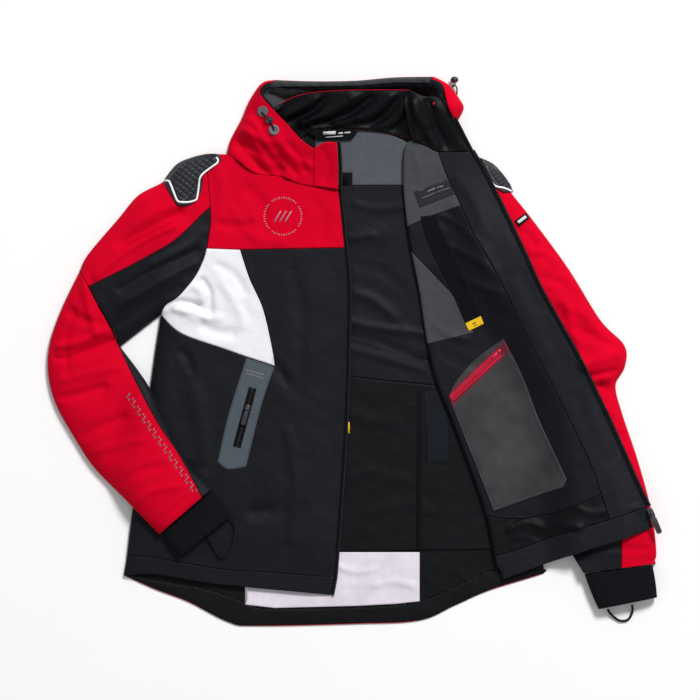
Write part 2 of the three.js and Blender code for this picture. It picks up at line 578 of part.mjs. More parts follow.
// ---------------------------------------------------------------- open left front
// The shell turns over at its fold: a side strip on the back, a rolled edge, and the turned front.
const ROLL = (OPEN_LEVEL + SHELL - SIDE_LEVEL) / 2;
const ROLL_LAP = 1.2;

function rolledEdge() {
  const middle = SIDE_LEVEL + ROLL;
  const arcSteps = 6;
  const arc = (radius, from, to) => Array.from({ length: arcSteps + 1 }, (_, k) => {
    const turn = mix(from, to, k / arcSteps);
    return [radius * Math.cos(turn), radius * Math.sin(turn)];
  });
  const inner = ROLL - SHELL;
  const section = [[ROLL_LAP, ROLL], ...arc(ROLL, Math.PI / 2, Math.PI * 1.5), [ROLL_LAP, -ROLL],
    [ROLL_LAP, -inner],
    ...arc(inner, Math.PI * 1.5, Math.PI / 2), [ROLL_LAP, inner]];
  const n = section.length;
  const stations = FOLD;
  const positions = stations.flatMap((p) => section.flatMap(([u, w]) => [p.x + ROLL + u, p.y, middle + w]));
  const index = [];
  for (let r = 0; r + 1 < stations.length; r++) {
    for (let k = 0; k < n; k++) {
      const k1 = (k + 1) % n;
      const [a, b, c, d] = [r * n + k, r * n + k1, (r + 1) * n + k, (r + 1) * n + k1];
      index.push(a, d, b, a, c, d);
    }
  }
  const cap = THREE.ShapeUtils.triangulateShape(section.map(([u, w]) => new THREE.Vector2(u, w)), []);
  const last = (stations.length - 1) * n;
  for (const [a, b, c] of cap) index.push(a, b, c, last + a, last + c, last + b);
  return outwardGeometry(positions, index);
}

const FOLD_IN = shifted(FOLD, ROLL, 0);
const sideStrip = outline(FOLD_IN, back(SIDE_L), line([205, 70], [168, 120], [164, 180], [120, 280]));
const turnedShell = outline(FOLD_IN, HEM_L, back(HEM_END_L), back(ZIP_L), back(NECK_L.slice(1)));
const sideSolid = solidOf(prism(inset(sideStrip, SEAM / 2), SIDE_LEVEL, SIDE_LEVEL + SHELL));
const shellSolid = solidOf(rolledEdge()).add(sideSolid).add(cutWall(turnedShell, openShellTop, openUnder));
add("front_l_shell", geometryOf(shellSolid), cloth(BLACK));

const openPiece = (name, look, ...lines) => piece(name, look, outline(...lines), openLiningTop,
  openLiningUnder);
openPiece("facing_l", cloth(BLACK), NECK_L.slice(1), ZIP_L, back(span(HEM_SEAM_L, 3)), back(FACING_IN));
openPiece("lining_mesh_l", cloth(MESH_GREY), NECK_L.slice(0, 2), span(FACING_IN, 0, 2), back(MESH_LOW),
  back(span(FOLD, 0, 3)));
openPiece("lining_mesh_low_l", cloth(MESH_GREY), MESH_EDGE, MESH_HEM, back(span(FOLD, 4, 6)));
openPiece("lining_stretch_l", cloth(LINING_BLACK), MESH_LOW, span(FACING_IN, 2, 8), back(LOW_LINE),
  back(span(FOLD, 6, 10)), back(MESH_HEM), back(MESH_EDGE), back(span(FOLD, 3, 4)));
openPiece("lining_low_l", cloth(LINING_BLACK), LOW_LINE, span(FACING_IN, 8), back(span(HEM_SEAM_L, 0, 3)),
  back(span(FOLD, 10, 11)));
openPiece("front_hem_l", cloth(BLACK), HEM_SEAM_L, HEM_END_L, back(HEM_L), back(span(FOLD, 11)));

patch("strap_l", cloth(RUBBER), outline(bend([98, 203], [107, 170], [125, 130], [145, 90], [165, 43]),
  bend([188, 54], [177, 80], [165, 110], [150, 140], [135, 170], [120, 205])), openLiningTop);
patch("strap_tag", cloth(YELLOW), outline(line([165, 43], [188, 54], [193, 42], [170, 31])), openLiningTop);
const INNER_POCKET = outline(bend([222, 20], [250, -35], [275, -100], [300, -155], [316, -190]),
  line([311, -202], [207, -239]), bend([207, -239], [184, -180], [152, -100], [140, -68]),
  bend([140, -68], [150, -45], [175, -15], [200, 5], [222, 20]));
patch("inner_pocket", finish(POCKET_GREY, 0.6), INNER_POCKET, openLiningTop);
const innerPocketTop = above(openLiningTop, OVER + TRIM);
patch("inner_pocket_zip", cloth(RED), outline(line([221, -6], [212, 3], [140, -66], [148, -75])),
  innerPocketTop);

const ZIP_WIDTH_L = 7;
piece("zip_tape_l", cloth(RUBBER), outline(ZIP_L, back(shifted(ZIP_L, ZIP_WIDTH_L, 3))),
  above(openShellTop, 1),
  above(openShellTop, -0.3));

// ---------------------------------------------------------------- hood and collar
flat("hood_under", cloth(RED), outline(HOOD_SIDE_R, HOOD_TOP, HOOD_SIDE_L, line([152, 343], [172, 300]),
  back(NECK_L),
  back(NECK), back(NECK_R)), 0, SHELL);
piece("hood_outer", cloth(RED), outline(HOOD_SIDE_R, HOOD_TOP, HOOD_SIDE_L, back(RIM_L), back(RIM_TOP),
  back(RIM_R),
  line([-62, 304], [-62, 248]), back(COLLAR_SEAM)), hoodTop, hoodUnder);
piece("collar_front_r", cloth(RED), outline(COLLAR_R_TOP, FRONT_TOP_EDGE, back(COLLAR_FRONT_SEAM),
  line([-62, 248], [-62, 304])), hoodTop, hoodUnder);
piece("hood_rim_band", cloth(BLACK), outline(RIM_TOP, line([114, 408], [111, 401]), back(BAND_TOP),
  line([-128, 395], [-120, 404])), hoodTop, below(hoodTop, LINING));
piece("hood_lining", cloth(LINING_BLACK), outline(span(RIM_R, 3), BAND_TOP, RIM_L, back(span(COLLAR_L, 0, 4)),
  back(COLLAR_TOP)), wellTop, below(wellTop, LINING));
piece("collar_back_lining", cloth(BLACK), outline(NECK, back(COLLAR_BEND), back(COLLAR_TOP),
  back(span(RIM_R, 1, 3))),
  collarBackTop, below(collarBackTop, SHELL));
piece("collar_l_lining", cloth(BLACK), outline(COLLAR_L, back(NECK_L), back(COLLAR_BEND)), collarLeftTop,
  below(collarLeftTop, SHELL));

const disc = (x, y, radius) => outline(Array.from({ length: 12 }, (_, k) => {
  const turn = (Math.PI * k) / 6;
  return new THREE.Vector2(x + radius * Math.cos(turn), y + radius * Math.sin(turn));
}));
const EYELETS = [[-138, 359], [-121, 331]];
EYELETS.forEach(([x, y], i) => patch("eyelet_" + (i + 1), cloth(MESH_GREY), disc(x, y, 8), hoodTop));
patch("cord_lock_r", finish(RUBBER, 0.5), disc(-128, 346, 6), hoodTop, OVER, 7);
const lock = add("cord_lock_l", new THREE.SphereGeometry(6, 12, 8), finish(RUBBER, 0.5));
lock.position.set(149, 408, 8);
lock.scale.set(1, 0.9, 0.75);

// ---------------------------------------------------------------- shoulder guards
const GUARD = 3;
patch("guard_r", finish(RUBBER, 0.6),
  outline(bend([-286, 256], [-267, 280], [-246, 290], [-225, 295], [-206, 295],
  [-201, 286], [-212, 275], [-226, 264], [-229, 245], [-235, 229], [-248, 222], [-264, 221], [-273, 233],
  [-286, 256])), frontTop, OVER, GUARD);
patch("guard_l", finish(RUBBER, 0.6), outline(line([194, 284], [217, 268], [231, 250], [235, 240], [222, 240],
  [213, 246], [205, 262])), sleeveTopL, OVER, GUARD);
const BADGE = 1.5;
patch("badge_l", finish(RUBBER, 0.6), outline(line([238, 196], [256, 209], [262, 200], [245, 187])),
  sleeveTopL,
  OVER, BADGE);

// ---------------------------------------------------------------- zip sliders and pull tabs
// In its own frame a slider runs along Y, with its pull tab towards +Y and its pin across X.
const ALLOY = finish(0x2a2a2e, 0.4, 0.6);
const PIN_HEIGHT = 6;
const PIN_RADIUS = 0.8;
const EYE_HOLE = 1.3;
const EYE_RADIUS = 2.3;
const TAB_PITCH = THREE.MathUtils.degToRad(8);

const block = (x, y, z, sx, sy, sz) => new THREE.BoxGeometry(sx, sy, sz).translate(x, y, z);

function sliderGeometry(scale) {
  const body = new THREE.Shape([[-2.4, -6], [2.4, -6], [3.4, -3], [3.4, 6], [-3.4, 6],
    [-3.4, -3]].map(([x, y]) =>
    new THREE.Vector2(x, y)));
  const plate = new THREE.ExtrudeGeometry(body, { depth: 3.1, bevelEnabled: false });
  const pin = new THREE.CylinderGeometry(PIN_RADIUS, PIN_RADIUS, 5.6, 12).rotateZ(Math.PI / 2)
    .translate(0, 0, PIN_HEIGHT);
  let solid = solidOf(plate).add(solidOf(pin));
  for (const side of [-1, 1]) solid = solid.add(solidOf(block(side * 2.6, 0, 4.9, 1.2, 3.2, 4.6)));
  return geometryOf(solid).scale(scale, scale, scale);
}

function pullGeometry(scale, length) {
  const eye = new THREE.Shape().absarc(0, 0, EYE_RADIUS, 0, 2 * Math.PI);
  eye.holes.push(new THREE.Path().absarc(0, 0, EYE_HOLE, 0, 2 * Math.PI, true));
  const ring = new THREE.ExtrudeGeometry(eye, { depth: 3, bevelEnabled: false, curveSegments: 16 })
    .translate(0, 0, -1.5).rotateY(Math.PI / 2);
  const neck = block(0, 4.2, 0, 3, 4.6, 1.7);
  const tab = new THREE.Shape([[-2, 5.6], [2, 5.6], [3.4, 8], [3.4, length - 2], [2, length], [-2, length],
    [-3.4, length - 2], [-3.4, 8]].map(([x, y]) => new THREE.Vector2(x, y)));
  const plate = new THREE.ExtrudeGeometry(tab, { depth: 2, bevelEnabled: false }).translate(0, 0, -1);
  const solid = solidOf(ring).add(solidOf(neck)).add(solidOf(plate));
  return geometryOf(solid).scale(scale, scale, scale);
}

function zipPull(name, x, y, z, toX, toY, scale, length) {
  const group = new THREE.Group();
  group.position.set(x, y, z);
  group.rotation.z = Math.atan2(toY - y, toX - x) - Math.PI / 2;
  const slider = add(name + "_slider", sliderGeometry(scale), ALLOY);
  const pull = add(name + "_pull", pullGeometry(scale, length), ALLOY);
  pull.position.set(0, 0, PIN_HEIGHT * scale);
  pull.rotation.x = -TAB_PITCH;
  group.add(slider, pull);
  jacket.add(group);
}

const pocketZipTop = above(pocketTop, OVER + TRIM);
zipPull("pocket", -161, -85, pocketZipTop(-161, -85) + SEAM, -171, -120, 1, 25);
zipPull("main", 442, -240, openLiningTop(432, -238) + 1.5, 459, -280, 1.25, 27);

// The origin is under the middle of the jacket, on the surface that it lies on.
const loose = new Set(loops);
const box = new THREE.Box3();
jacket.updateMatrixWorld(true);
jacket.traverse((o) => {
  if (o.isMesh && !loose.has(o)) box.expandByObject(o, true);
});
const centre = box.getCenter(new THREE.Vector3());
jacket.position.set(-centre.x, -centre.y, -box.min.z);

export default jacket;
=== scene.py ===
"""A men's hooded softshell riding jacket, laid on its back with the left front turned open.

Outlines and heights repeat the CAD part's own, in millimetres of the garment's plan: X across the chest and
Y from the hem to the hood. make() takes them into the frame, in metres. Cloth is a thin closed shell on the
form of its solid, with creases placed as soft troughs and ridges.
"""
import json
import math

import bmesh
import bpy
import numpy as np
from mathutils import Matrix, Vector
from mathutils.geometry import delaunay_2d_cdt


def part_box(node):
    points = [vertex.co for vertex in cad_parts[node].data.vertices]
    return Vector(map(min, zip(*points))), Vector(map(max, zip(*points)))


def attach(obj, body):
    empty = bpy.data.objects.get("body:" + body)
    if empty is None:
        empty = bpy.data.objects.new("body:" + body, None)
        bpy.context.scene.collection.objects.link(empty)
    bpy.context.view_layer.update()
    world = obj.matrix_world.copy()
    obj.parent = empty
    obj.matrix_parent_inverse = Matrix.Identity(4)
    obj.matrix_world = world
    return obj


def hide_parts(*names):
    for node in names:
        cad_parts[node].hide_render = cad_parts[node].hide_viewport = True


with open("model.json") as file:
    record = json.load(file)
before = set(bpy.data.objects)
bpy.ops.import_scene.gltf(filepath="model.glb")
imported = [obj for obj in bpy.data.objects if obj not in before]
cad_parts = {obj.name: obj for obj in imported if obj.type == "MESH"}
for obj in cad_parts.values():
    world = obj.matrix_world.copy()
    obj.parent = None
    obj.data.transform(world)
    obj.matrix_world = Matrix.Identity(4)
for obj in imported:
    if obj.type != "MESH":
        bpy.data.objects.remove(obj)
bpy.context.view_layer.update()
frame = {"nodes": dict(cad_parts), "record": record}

MM = 0.001
# The garment plan's place in the frame, from the middle of a flat piece with a known outline.
low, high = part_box("pocket_reverse")
SHIFT = np.array([(low.x + high.x) / 2 / MM - 122.5, (low.y + high.y) / 2 / MM + 111.5, 0])


def in_frame(points):
    return (np.asarray(points, float) + SHIFT) * MM


# ---------------------------------------------------------------- camera and light
scene = bpy.context.scene
scene.view_settings.view_transform = "Standard"
VIEW_WIDTH = 1.05
VIEW_HEIGHT = 6
camera_data = bpy.data.cameras.new("camera")
camera_data.sensor_width = 36
camera_data.lens = 36 * VIEW_HEIGHT / VIEW_WIDTH
camera = bpy.data.objects.new("camera", camera_data)
camera.location = in_frame((-7.5, 3, VIEW_HEIGHT / MM))
scene.collection.objects.link(camera)
scene.camera = camera


# ---------------------------------------------------------------- lines on the plan
class Line:
    """A run of points. line[a:b] is the part between two of the points it was made from; -line runs back."""

    def __init__(self, points, knots):
        self.points, self.knots = points, knots

    def __neg__(self):
        last = len(self.points) - 1
        return Line(self.points[::-1], [last - k for k in reversed(self.knots)])

    def __getitem__(self, part):
        first = self.knots[part.start or 0]
        last = self.knots[-1 if part.stop is None else part.stop]
        return Line(self.points[first : last + 1], [k - first for k in self.knots if first <= k <= last])

    def shifted(self, dx, dy=0):
        return Line(self.points + (dx, dy), self.knots)


STEP = 4  # spacing of points along an outline


def bend(*corners, step=STEP):
    """A smooth line through given points."""
    p = np.array(corners, float)
    runs, knots = [], [0]
    for i in range(len(p) - 1):
        a, b, c, d = p[max(i - 1, 0)], p[i], p[i + 1], p[min(i + 2, len(p) - 1)]
        n = max(1, round(np.linalg.norm(c - b) / step))
        t = (np.arange(n) / n)[:, None]
        u, v = (c - a) / 2, (d - b) / 2
        runs.append((2 * b - 2 * c + u + v) * t**3 + (3 * c - 3 * b - 2 * u - v) * t**2 + u * t + b)
        knots.append(knots[-1] + n)
    return Line(np.vstack(runs + [p[-1:]]), knots)


def line(*corners, step=STEP):
    """A line of straight runs."""
    runs = [bend(a, b, step=step) for a, b in zip(corners, corners[1:])]
    points = np.vstack([r.points[:-1] for r in runs] + [runs[-1].points[-1:]])
    return Line(points, list(np.cumsum([0] + [len(r.points) - 1 for r in runs])))


def outline(*lines):
    """Joins lines end to end into one closed, anticlockwise outline."""
    kept = []
    for p in np.vstack([part.points for part in lines]):
        if not kept or np.hypot(*(p - kept[-1])) > 0.5:
            kept.append(p)
    if np.hypot(*(kept[0] - kept[-1])) <= 0.5:
        kept.pop()
    p = np.array(kept)
    q = np.roll(p, -1, 0)
    return p if (p[:, 0] * q[:, 1] - q[:, 0] * p[:, 1]).sum() > 0 else p[::-1]


def inside(shape, x, y):
    a, b = shape, np.roll(shape, -1, 0)
    crosses = (a[:, 1] > y[:, None]) != (b[:, 1] > y[:, None])
    rise = np.where(a[:, 1] == b[:, 1], 1, b[:, 1] - a[:, 1])
    at = (b[:, 0] - a[:, 0]) * (y[:, None] - a[:, 1]) / rise + a[:, 0]
    return (crosses & (x[:, None] < at)).sum(1) % 2 == 1


def distance(points, x, y):
    """How far each place (x, y) is from a line of points."""
    points = points.points if isinstance(points, Line) else np.asarray(points, float)
    a, run = points[:-1], np.diff(points, axis=0)
    least = np.full(len(x), np.inf)
    for (ax, ay), (dx, dy) in zip(a, run):
        t = np.clip(((x - ax) * dx + (y - ay) * dy) / (dx * dx + dy * dy), 0, 1)
        least = np.minimum(least, (x - ax - t * dx) ** 2 + (y - ay - t * dy) ** 2)
    return np.sqrt(least)


def offset(points, by):
    """Moves an open run of points to its left."""
    points = points.points if isinstance(points, Line) else np.asarray(points, float)
    run = np.gradient(points, axis=0)
    run /= np.linalg.norm(run, axis=1)[:, None]
    return points + by * np.stack([-run[:, 1], run[:, 0]], 1)


def inset(shape, by):
    """Pulls a closed outline in."""
    u = shape - np.roll(shape, 1, 0)
    v = np.roll(shape, -1, 0) - shape
    u /= np.linalg.norm(u, axis=1)[:, None]
    v /= np.linalg.norm(v, axis=1)[:, None]
    mitre = np.stack([-u[:, 1] - v[:, 1], u[:, 0] + v[:, 0]], 1)
    return shape + by * mitre / np.maximum(0.35, (mitre**2).sum(1) / 2)[:, None]


def walk(points, pitch, start=0.0):
    """Even steps along a run of points: places and unit directions."""
    points = points.points if isinstance(points, Line) else np.asarray(points, float)
    run = np.diff(points, axis=0)
    lengths = np.linalg.norm(run, axis=1)
    total = np.concatenate([[0], np.cumsum(lengths)])
    at = np.arange(start + pitch / 2, total[-1], pitch)
    k = np.clip(np.searchsorted(total, at, side="right") - 1, 0, len(run) - 1)
    way = run[k] / lengths[k][:, None]
    return points[k] + way * (at - total[k])[:, None], way


SIDE_R = bend((-291, 56), (-300, 0), (-308, -60), (-320, -140), (-334, -237), (-342, -304), (-347, -335))
ARMHOLE_TOP_R = bend((-225, 297), (-220, 255), (-217, 217))
ARMHOLE_R = bend((-217, 217), (-216, 200), (-218, 180), (-222, 155))
UNDERARM_R = bend((-222, 155), (-227, 138), (-240, 112), (-265, 82), (-283, 70), (-291, 56))
ARM_OUT_R = bend((-225, 297), (-245, 291), (-265, 281), (-287, 256), (-325, 235), (-355, 200), (-400, 147),
    (-412, 123))
ARM_IN_R = line((-291, 56), (-352, 8))
ARM_SEAM_R = bend((-217, 217), (-235, 200), (-268, 168), (-300, 148), (-345, 124), (-398, 98))
ELBOW_OUT_R = line((-412, 123), (-398, 98))
ELBOW_MID_R = bend((-398, 98), (-388, 78), (-372, 50), (-358, 18))
ELBOW_IN_R = line((-358, 18), (-352, 8))
FORE_OUT_R = bend((-412, 123), (-440, 65), (-458, 12), (-460, -35), (-448, -80), (-420, -130), (-390, -175),
    (-340, -225), (-293, -273))
FORE_SEAM_R = bend((-358, 18), (-330, -40), (-295, -105), (-262, -155), (-228, -217))
FORE_IN_R = bend((-352, 8), (-308, -52), (-285, -100), (-262, -145), (-240, -178), (-210, -202))
FORE_END_RED = line((-293, -273), (-228, -217))
FORE_END_BLACK = line((-228, -217), (-210, -202))

FRONT_TOP_EDGE = bend((-27, 313), (-25, 280), (-25, 243))
YOKE_EDGE = bend((-25, 243), (-22, 215), (-18, 175), (-16, 156))
FRONT_EDGE = bend((-16, 156), (-11, 100), (-12, 0), (-16, -110), (-25, -250), (-32, -338))
HEM_EDGE_R = line((-32, -338), (-37, -364))
COLLAR_SEAM = bend((-192, 296), (-176, 286), (-150, 268), (-110, 262), (-85, 252), (-62, 248))
COLLAR_FRONT_SEAM = line((-62, 248), (-25, 243))
YOKE_SEAM_SIDE = line((-222, 155), (-172, 153))
YOKE_SEAM = line((-172, 153), (-16, 156))
WHITE_EDGE = bend((-172, 153), (-158, 110), (-138, 65), (-125, 10), (-120, -21))
WHITE_BOTTOM = bend((-291, 56), (-272, 36), (-250, 23), (-200, 6), (-160, -8), (-120, -21))
HEM_SEAM_R = bend((-342, -304), (-300, -308), (-200, -325), (-125, -330), (-32, -338))
HEM_R = bend((-347, -335), (-300, -333), (-220, -346), (-165, -352), (-80, -360), (-37, -364))

NECK = bend((-80, 317), (-60, 333), (0, 334), (50, 328), (85, 318))
NECK_R = line((-192, 296), (-80, 317))
NECK_L = line((85, 318), (124, 299), (172, 300))
SHOULDER_R = line((-225, 297), (-192, 296))
SHOULDER_L = line((172, 300), (180, 291))
ARMHOLE_L = bend((180, 291), (172, 230), (172, 190), (176, 150), (190, 110), (231, 55))
SIDE_L = bend((231, 55), (245, -30), (262, -150), (283, -325))
HEM_BAND = bend((-347, -335), (-250, -351), (-200, -363), (-150, -383), (-120, -386), (0, -383), (80, -378),
    (130, -362), (200, -330), (283, -325))
HEM_BACK = bend((-347, -335), (-300, -356), (-250, -375), (-190, -405), (-150, -411), (0, -408), (95, -403),
    (150, -380), (200, -358), (283, -332), (283, -325))

ARM_OUT_L = bend((180, 291), (215, 270), (235, 238), (265, 200), (320, 125), (368, 48), (404, 10), (405, -22),
    (391, -50), (400, -90), (425, -165), (445, -240), (452, -298), (450, -312))
ARM_IN_L = bend((231, 55), (262, -10), (292, -80), (312, -180), (325, -303))
ARM_END_RED_L = line((398, -316), (450, -312))
ARM_SEAM_L = bend((172, 190), (250, 120), (320, -20), (365, -150), (395, -260), (398, -316))

FOLD = bend((85, 318), (75, 305), (73, 250), (79, 188), (85, 150), (97, 90), (109, 12), (123, -45), (145, -100),
    (175, -180), (197, -245), (209, -305), (213, -322))
ZIP_L = bend((172, 300), (195, 260), (222, 205), (250, 145), (275, 90), (325, 0), (375, -100), (420, -200),
    (436, -232))
HEM_END_L = line((436, -232), (446, -262))
HEM_L = bend((222, -340), (283, -318), (350, -295), (400, -280), (446, -262))
HEM_SEAM_L = bend((209, -305), (240, -297), (300, -275), (380, -250), (436, -232))
FACING_IN = bend((124, 299), (140, 256), (158, 219), (175, 180), (215, 110), (250, 35), (300, -60), (350, -165),
    (367, -212), (380, -250))
MESH_LOW = bend((79, 188), (97, 196), (120, 206), (158, 219))
MESH_EDGE = bend((85, 150), (125, 108), (150, 80), (165, 48), (178, 29))
MESH_HEM = line((178, 29), (109, 12))
LOW_LINE = bend((197, -245), (235, -250), (300, -240), (367, -212))
PANEL_TOP = line((-60, 250), (112, 250))
POCKET_HEM = bend((-60, -30), (-12, -36), (50, -43), (150, -52))
LOWER_HEM = line((-60, -300), (230, -296))

HOOD_SIDE_R = bend((-192, 296), (-187, 318), (-170, 350), (-158, 378), (-140, 403), (-120, 408))
HOOD_TOP = bend((-120, 408), (-60, 406), (0, 407), (60, 412), (118, 413))
HOOD_SIDE_L = bend((118, 413), (140, 401), (158, 378), (163, 364), (152, 343))
RIM_R = bend((-62, 304), (-80, 317), (-100, 339), (-122, 362), (-138, 380), (-142, 390), (-135, 400), (-120, 404))
RIM_TOP = bend((-120, 404), (-60, 402), (0, 403), (60, 408), (114, 408))
RIM_L = bend((114, 408), (130, 400), (135, 380), (140, 362), (150, 344))
BAND_TOP = bend((-128, 395), (-60, 396), (0, 397), (60, 402), (111, 401))
COLLAR_TOP = bend((-122, 362), (-100, 377), (-65, 387), (0, 391), (83, 391))
COLLAR_BEND = bend((83, 391), (74, 378), (78, 345), (85, 318))
COLLAR_L = bend((83, 391), (105, 382), (124, 380), (137, 362), (149, 343), (163, 317), (172, 300))
COLLAR_R_TOP = bend((-62, 304), (-45, 313), (-27, 313))

POCKET_TRIM = outline(bend((-163, -9), (-130, -19), (-121, -24)), bend((-121, -24), (-140, -80), (-163, -172)),
    bend((-163, -172), (-190, -176), (-206, -165)), bend((-206, -165), (-190, -95), (-163, -9)))
INNER_POCKET = outline(bend((222, 20), (250, -35), (275, -100), (300, -155), (316, -190)), line((311, -202),
    (207, -239)), bend((207, -239), (184, -180), (152, -100), (140, -68)), bend((140, -68), (150, -45), (175, -15),
    (200, 5), (222, 20)))

# ---------------------------------------------------------------- heights
SHELL = 1.6
LINING = 1.2
SEAM = 0.3
LINING_TOP = SHELL + SEAM + LINING
ARM_LOFT = 24
FOREARM_LOFT = 20
HOOD_LOFT = 34


def smooth(start, end, v):
    s = np.clip((v - start) / (end - start), 0, 1)
    return s * s * (3 - 2 * s)


def mix(a, b, t):
    return a + (b - a) * t


def rounded(d, radius):
    return np.sqrt(1 - (1 - np.clip(d / radius, 0, 1)) ** 2)


def inward(shape, edges, x, y):
    return np.where(inside(shape, x, y), np.minimum.reduce([distance(e, x, y) for e in edges]), 0)


def folds(runs, x, y):
    """Broad ridges, or troughs where the height is negative, along straight runs."""
    return sum(h * (1 - smooth(0, w, distance([(x0, y0), (x1, y1)], x, y))) for x0, y0, x1, y1, w, h in runs)


DEPTH = 2  # how far creases stand out, as a share of their listed heights


def creases(runs, x, y):
    """Narrow creases (width, height, points of the run), each with a low shoulder on both sides."""
    rise = np.zeros(len(x))
    for width, height, *points in runs:
        d = distance(bend(*points, step=8) if len(points) > 2 else points, x, y) / width
        rise += DEPTH * height * (1 - 0.9 * d * d) * np.exp(-d * d)
    return rise


def shallow(rise, most):
    """The same rises, with troughs that flatten out at a depth."""
    return np.where(rise < 0, -most * np.tanh(-rise / most), rise)


def grain(x, y, turn, long, wide, seed):
    """Seeded soft noise between -1 and 1, drawn out along a direction given in degrees."""
    cells = 64
    grid = np.random.default_rng(seed).uniform(-1, 1, (cells, cells))
    c, s = math.cos(math.radians(turn)), math.sin(math.radians(turn))
    u, v = (x * c + y * s) / long + cells, (y * c - x * s) / wide + cells
    i, j = np.floor(u).astype(int), np.floor(v).astype(int)
    f, g = smooth(0, 1, u - i), smooth(0, 1, v - j)
    at = lambda a, b: grid[(i + a) % cells, (j + b) % cells]
    return mix(mix(at(0, 0), at(1, 0), f), mix(at(0, 1), at(1, 1), f), g)


RIGHT_SHAPE = outline(ARM_OUT_R, -ARM_IN_R, SIDE_R, line((-354, -440), (80, -440), (80, 340), (-225, 340)))
FOREARM_SHAPE = outline(FORE_OUT_R, line((-293, -273), (-210, -202)), -FORE_IN_R, line((-352, 8), (-412, 123)))
SLEEVE_L_SHAPE = outline(ARM_OUT_L, line((451, -318), (398, -324.5), (343, -332), (325, -303)), -ARM_IN_L, -ARMHOLE_L)
HOOD_SHAPE = outline(HOOD_SIDE_R, HOOD_TOP, HOOD_SIDE_L, line((200, 200), (-250, 200)))

FRONT_FOLDS = [(-265, 80, -222, 62, 22, -2.5), (-118, -20, -98, -52, 20, -2), (-150, -240, -118, -236, 24, -2.5),
    (-280, 180, -385, 110, 26, 4), (-268, 205, -340, 172, 22, -3)]
FRONT_CREASES = [
    # front
    (8, -1.3, (-118, -18), (-110, -32), (-103, -45)), (9, -1.3, (-257, 0), (-250, -12), (-245, -25)),
    (12, -1.2, (-150, -240), (-130, -238)), (16, 1.0, (-240, -60), (-225, -150), (-232, -230)),
    (14, -0.8, (-90, 120), (-80, 40), (-84, -60)), (10, -0.9, (-300, -150), (-262, -170), (-228, -172)),
    (12, 0.9, (-100, -120), (-88, -200), (-96, -280)), (9, -0.8, (-315, -215), (-280, -232), (-240, -238)),
    # white panel
    (5, -2.6, (-284, 66), (-262, 76), (-233, 70)), (7, 2.0, (-268, 64), (-240, 60), (-224, 52)),
    (6, -2.0, (-228, 108), (-217, 88), (-217, 60)), (7, 1.4, (-240, 98), (-230, 90), (-230, 80)),
    (11, -1.6, (-225, 37), (-205, 30), (-185, 28)), (9, 1.4, (-255, 60), (-235, 50), (-205, 52)),
    (8, -1.0, (-205, 130), (-180, 115), (-165, 90)), (10, 1.0, (-200, 105), (-180, 75), (-165, 40)),
    # yoke
    (9, -1.6, (-200, 191), (-180, 188), (-158, 190)), (12, 1.2, (-205, 270), (-198, 240), (-202, 205)),
    (14, -1.1, (-160, 245), (-140, 220), (-135, 190)), (12, -1.0, (-60, 225), (-48, 200), (-50, 170)),
    (10, 0.9, (-185, 215), (-150, 172), (-110, 165)),
    # upper arm
    (6, 2.6, (-272, 188), (-330, 158), (-388, 112)), (9, -2.2, (-262, 208), (-305, 184), (-352, 160)),
    (9, -1.3, (-232, 250), (-248, 215), (-250, 195)), (8, 1.1, (-255, 222), (-290, 212), (-330, 190)),
    (8, -2.0, (-236, 152), (-285, 130), (-350, 94)), (8, 2.0, (-240, 132), (-290, 106), (-352, 70)),
    (9, -1.3, (-262, 98), (-300, 78), (-352, 44)), (8, 1.0, (-225, 180), (-262, 150), (-300, 132)),
]


def front_rise(x, y):
    d = inward(RIGHT_SHAPE, [ARM_OUT_R, ARM_IN_R, SIDE_R], x, y)
    arm = smooth(-215, -300, x) * smooth(0, 90, y)
    loft = mix(11 * mix(0.4, 1, smooth(-12, -90, x)) * mix(0.6, 1, smooth(-340, -260, y)), ARM_LOFT, arm)
    soft = creases(FRONT_CREASES, x, y) + 0.7 * grain(x, y, 75, 90, 34, 3) + 0.3 * grain(x, y, -30, 40, 14, 4)
    return loft * rounded(d, mix(30, 55, arm)) + folds(FRONT_FOLDS, x, y) * smooth(6, 30, d) + soft * smooth(2, 22, d)


def front_top(x, y):
    return 4 + front_rise(x, y)


FOREARM_FOLDS = [(-447, -8, -372, 12, 22, -4.5), (-440, -70, -380, -58, 22, -2.5), (-400, -120, -350, -100, 20, -2)]
FOREARM_CREASES = [(4.5, -2.4, (-448, -9), (-430, -10), (-400, 2), (-362, 18)), (8, 2.4, (-445, 8), (-410, 14),
    (-376, 30)), (9, -2.0, (-436, 70), (-414, 52), (-392, 44)), (8, 2.2, (-408, 116), (-398, 70), (-388, 30)), (8,
    -1.5, (-446, -70), (-415, -64), (-375, -52)), (9, 1.2, (-440, -42), (-400, -32), (-350, -22)), (9, -1.3,
    (-408, -128), (-380, -112), (-345, -98)), (8, 1.0, (-392, -150), (-360, -140), (-318, -130)), (8, -1.2,
    (-350, -196), (-325, -180), (-288, -170)), (7, 1.0, (-325, -222), (-300, -206), (-262, -200)), (8, -1.0,
    (-430, -30), (-432, 20), (-420, 60)), (4, 1.0, (-296, -269), (-231, -213)), (4, -0.9, (-303, -262), (-238, -206))]


def forearm_floor(x, y):
    sign = np.where(inside(RIGHT_SHAPE, x, y), 1, -1)
    climb = smooth(-45, 6, sign * distance(SIDE_R, x, y)) * smooth(90, 20, y)
    return np.maximum(16 * climb, np.where((sign > 0) & (y < 0), front_top(x, y) + 0.5, 0))


def forearm_base(x, y):
    return forearm_floor(x, y) + SHELL + SEAM


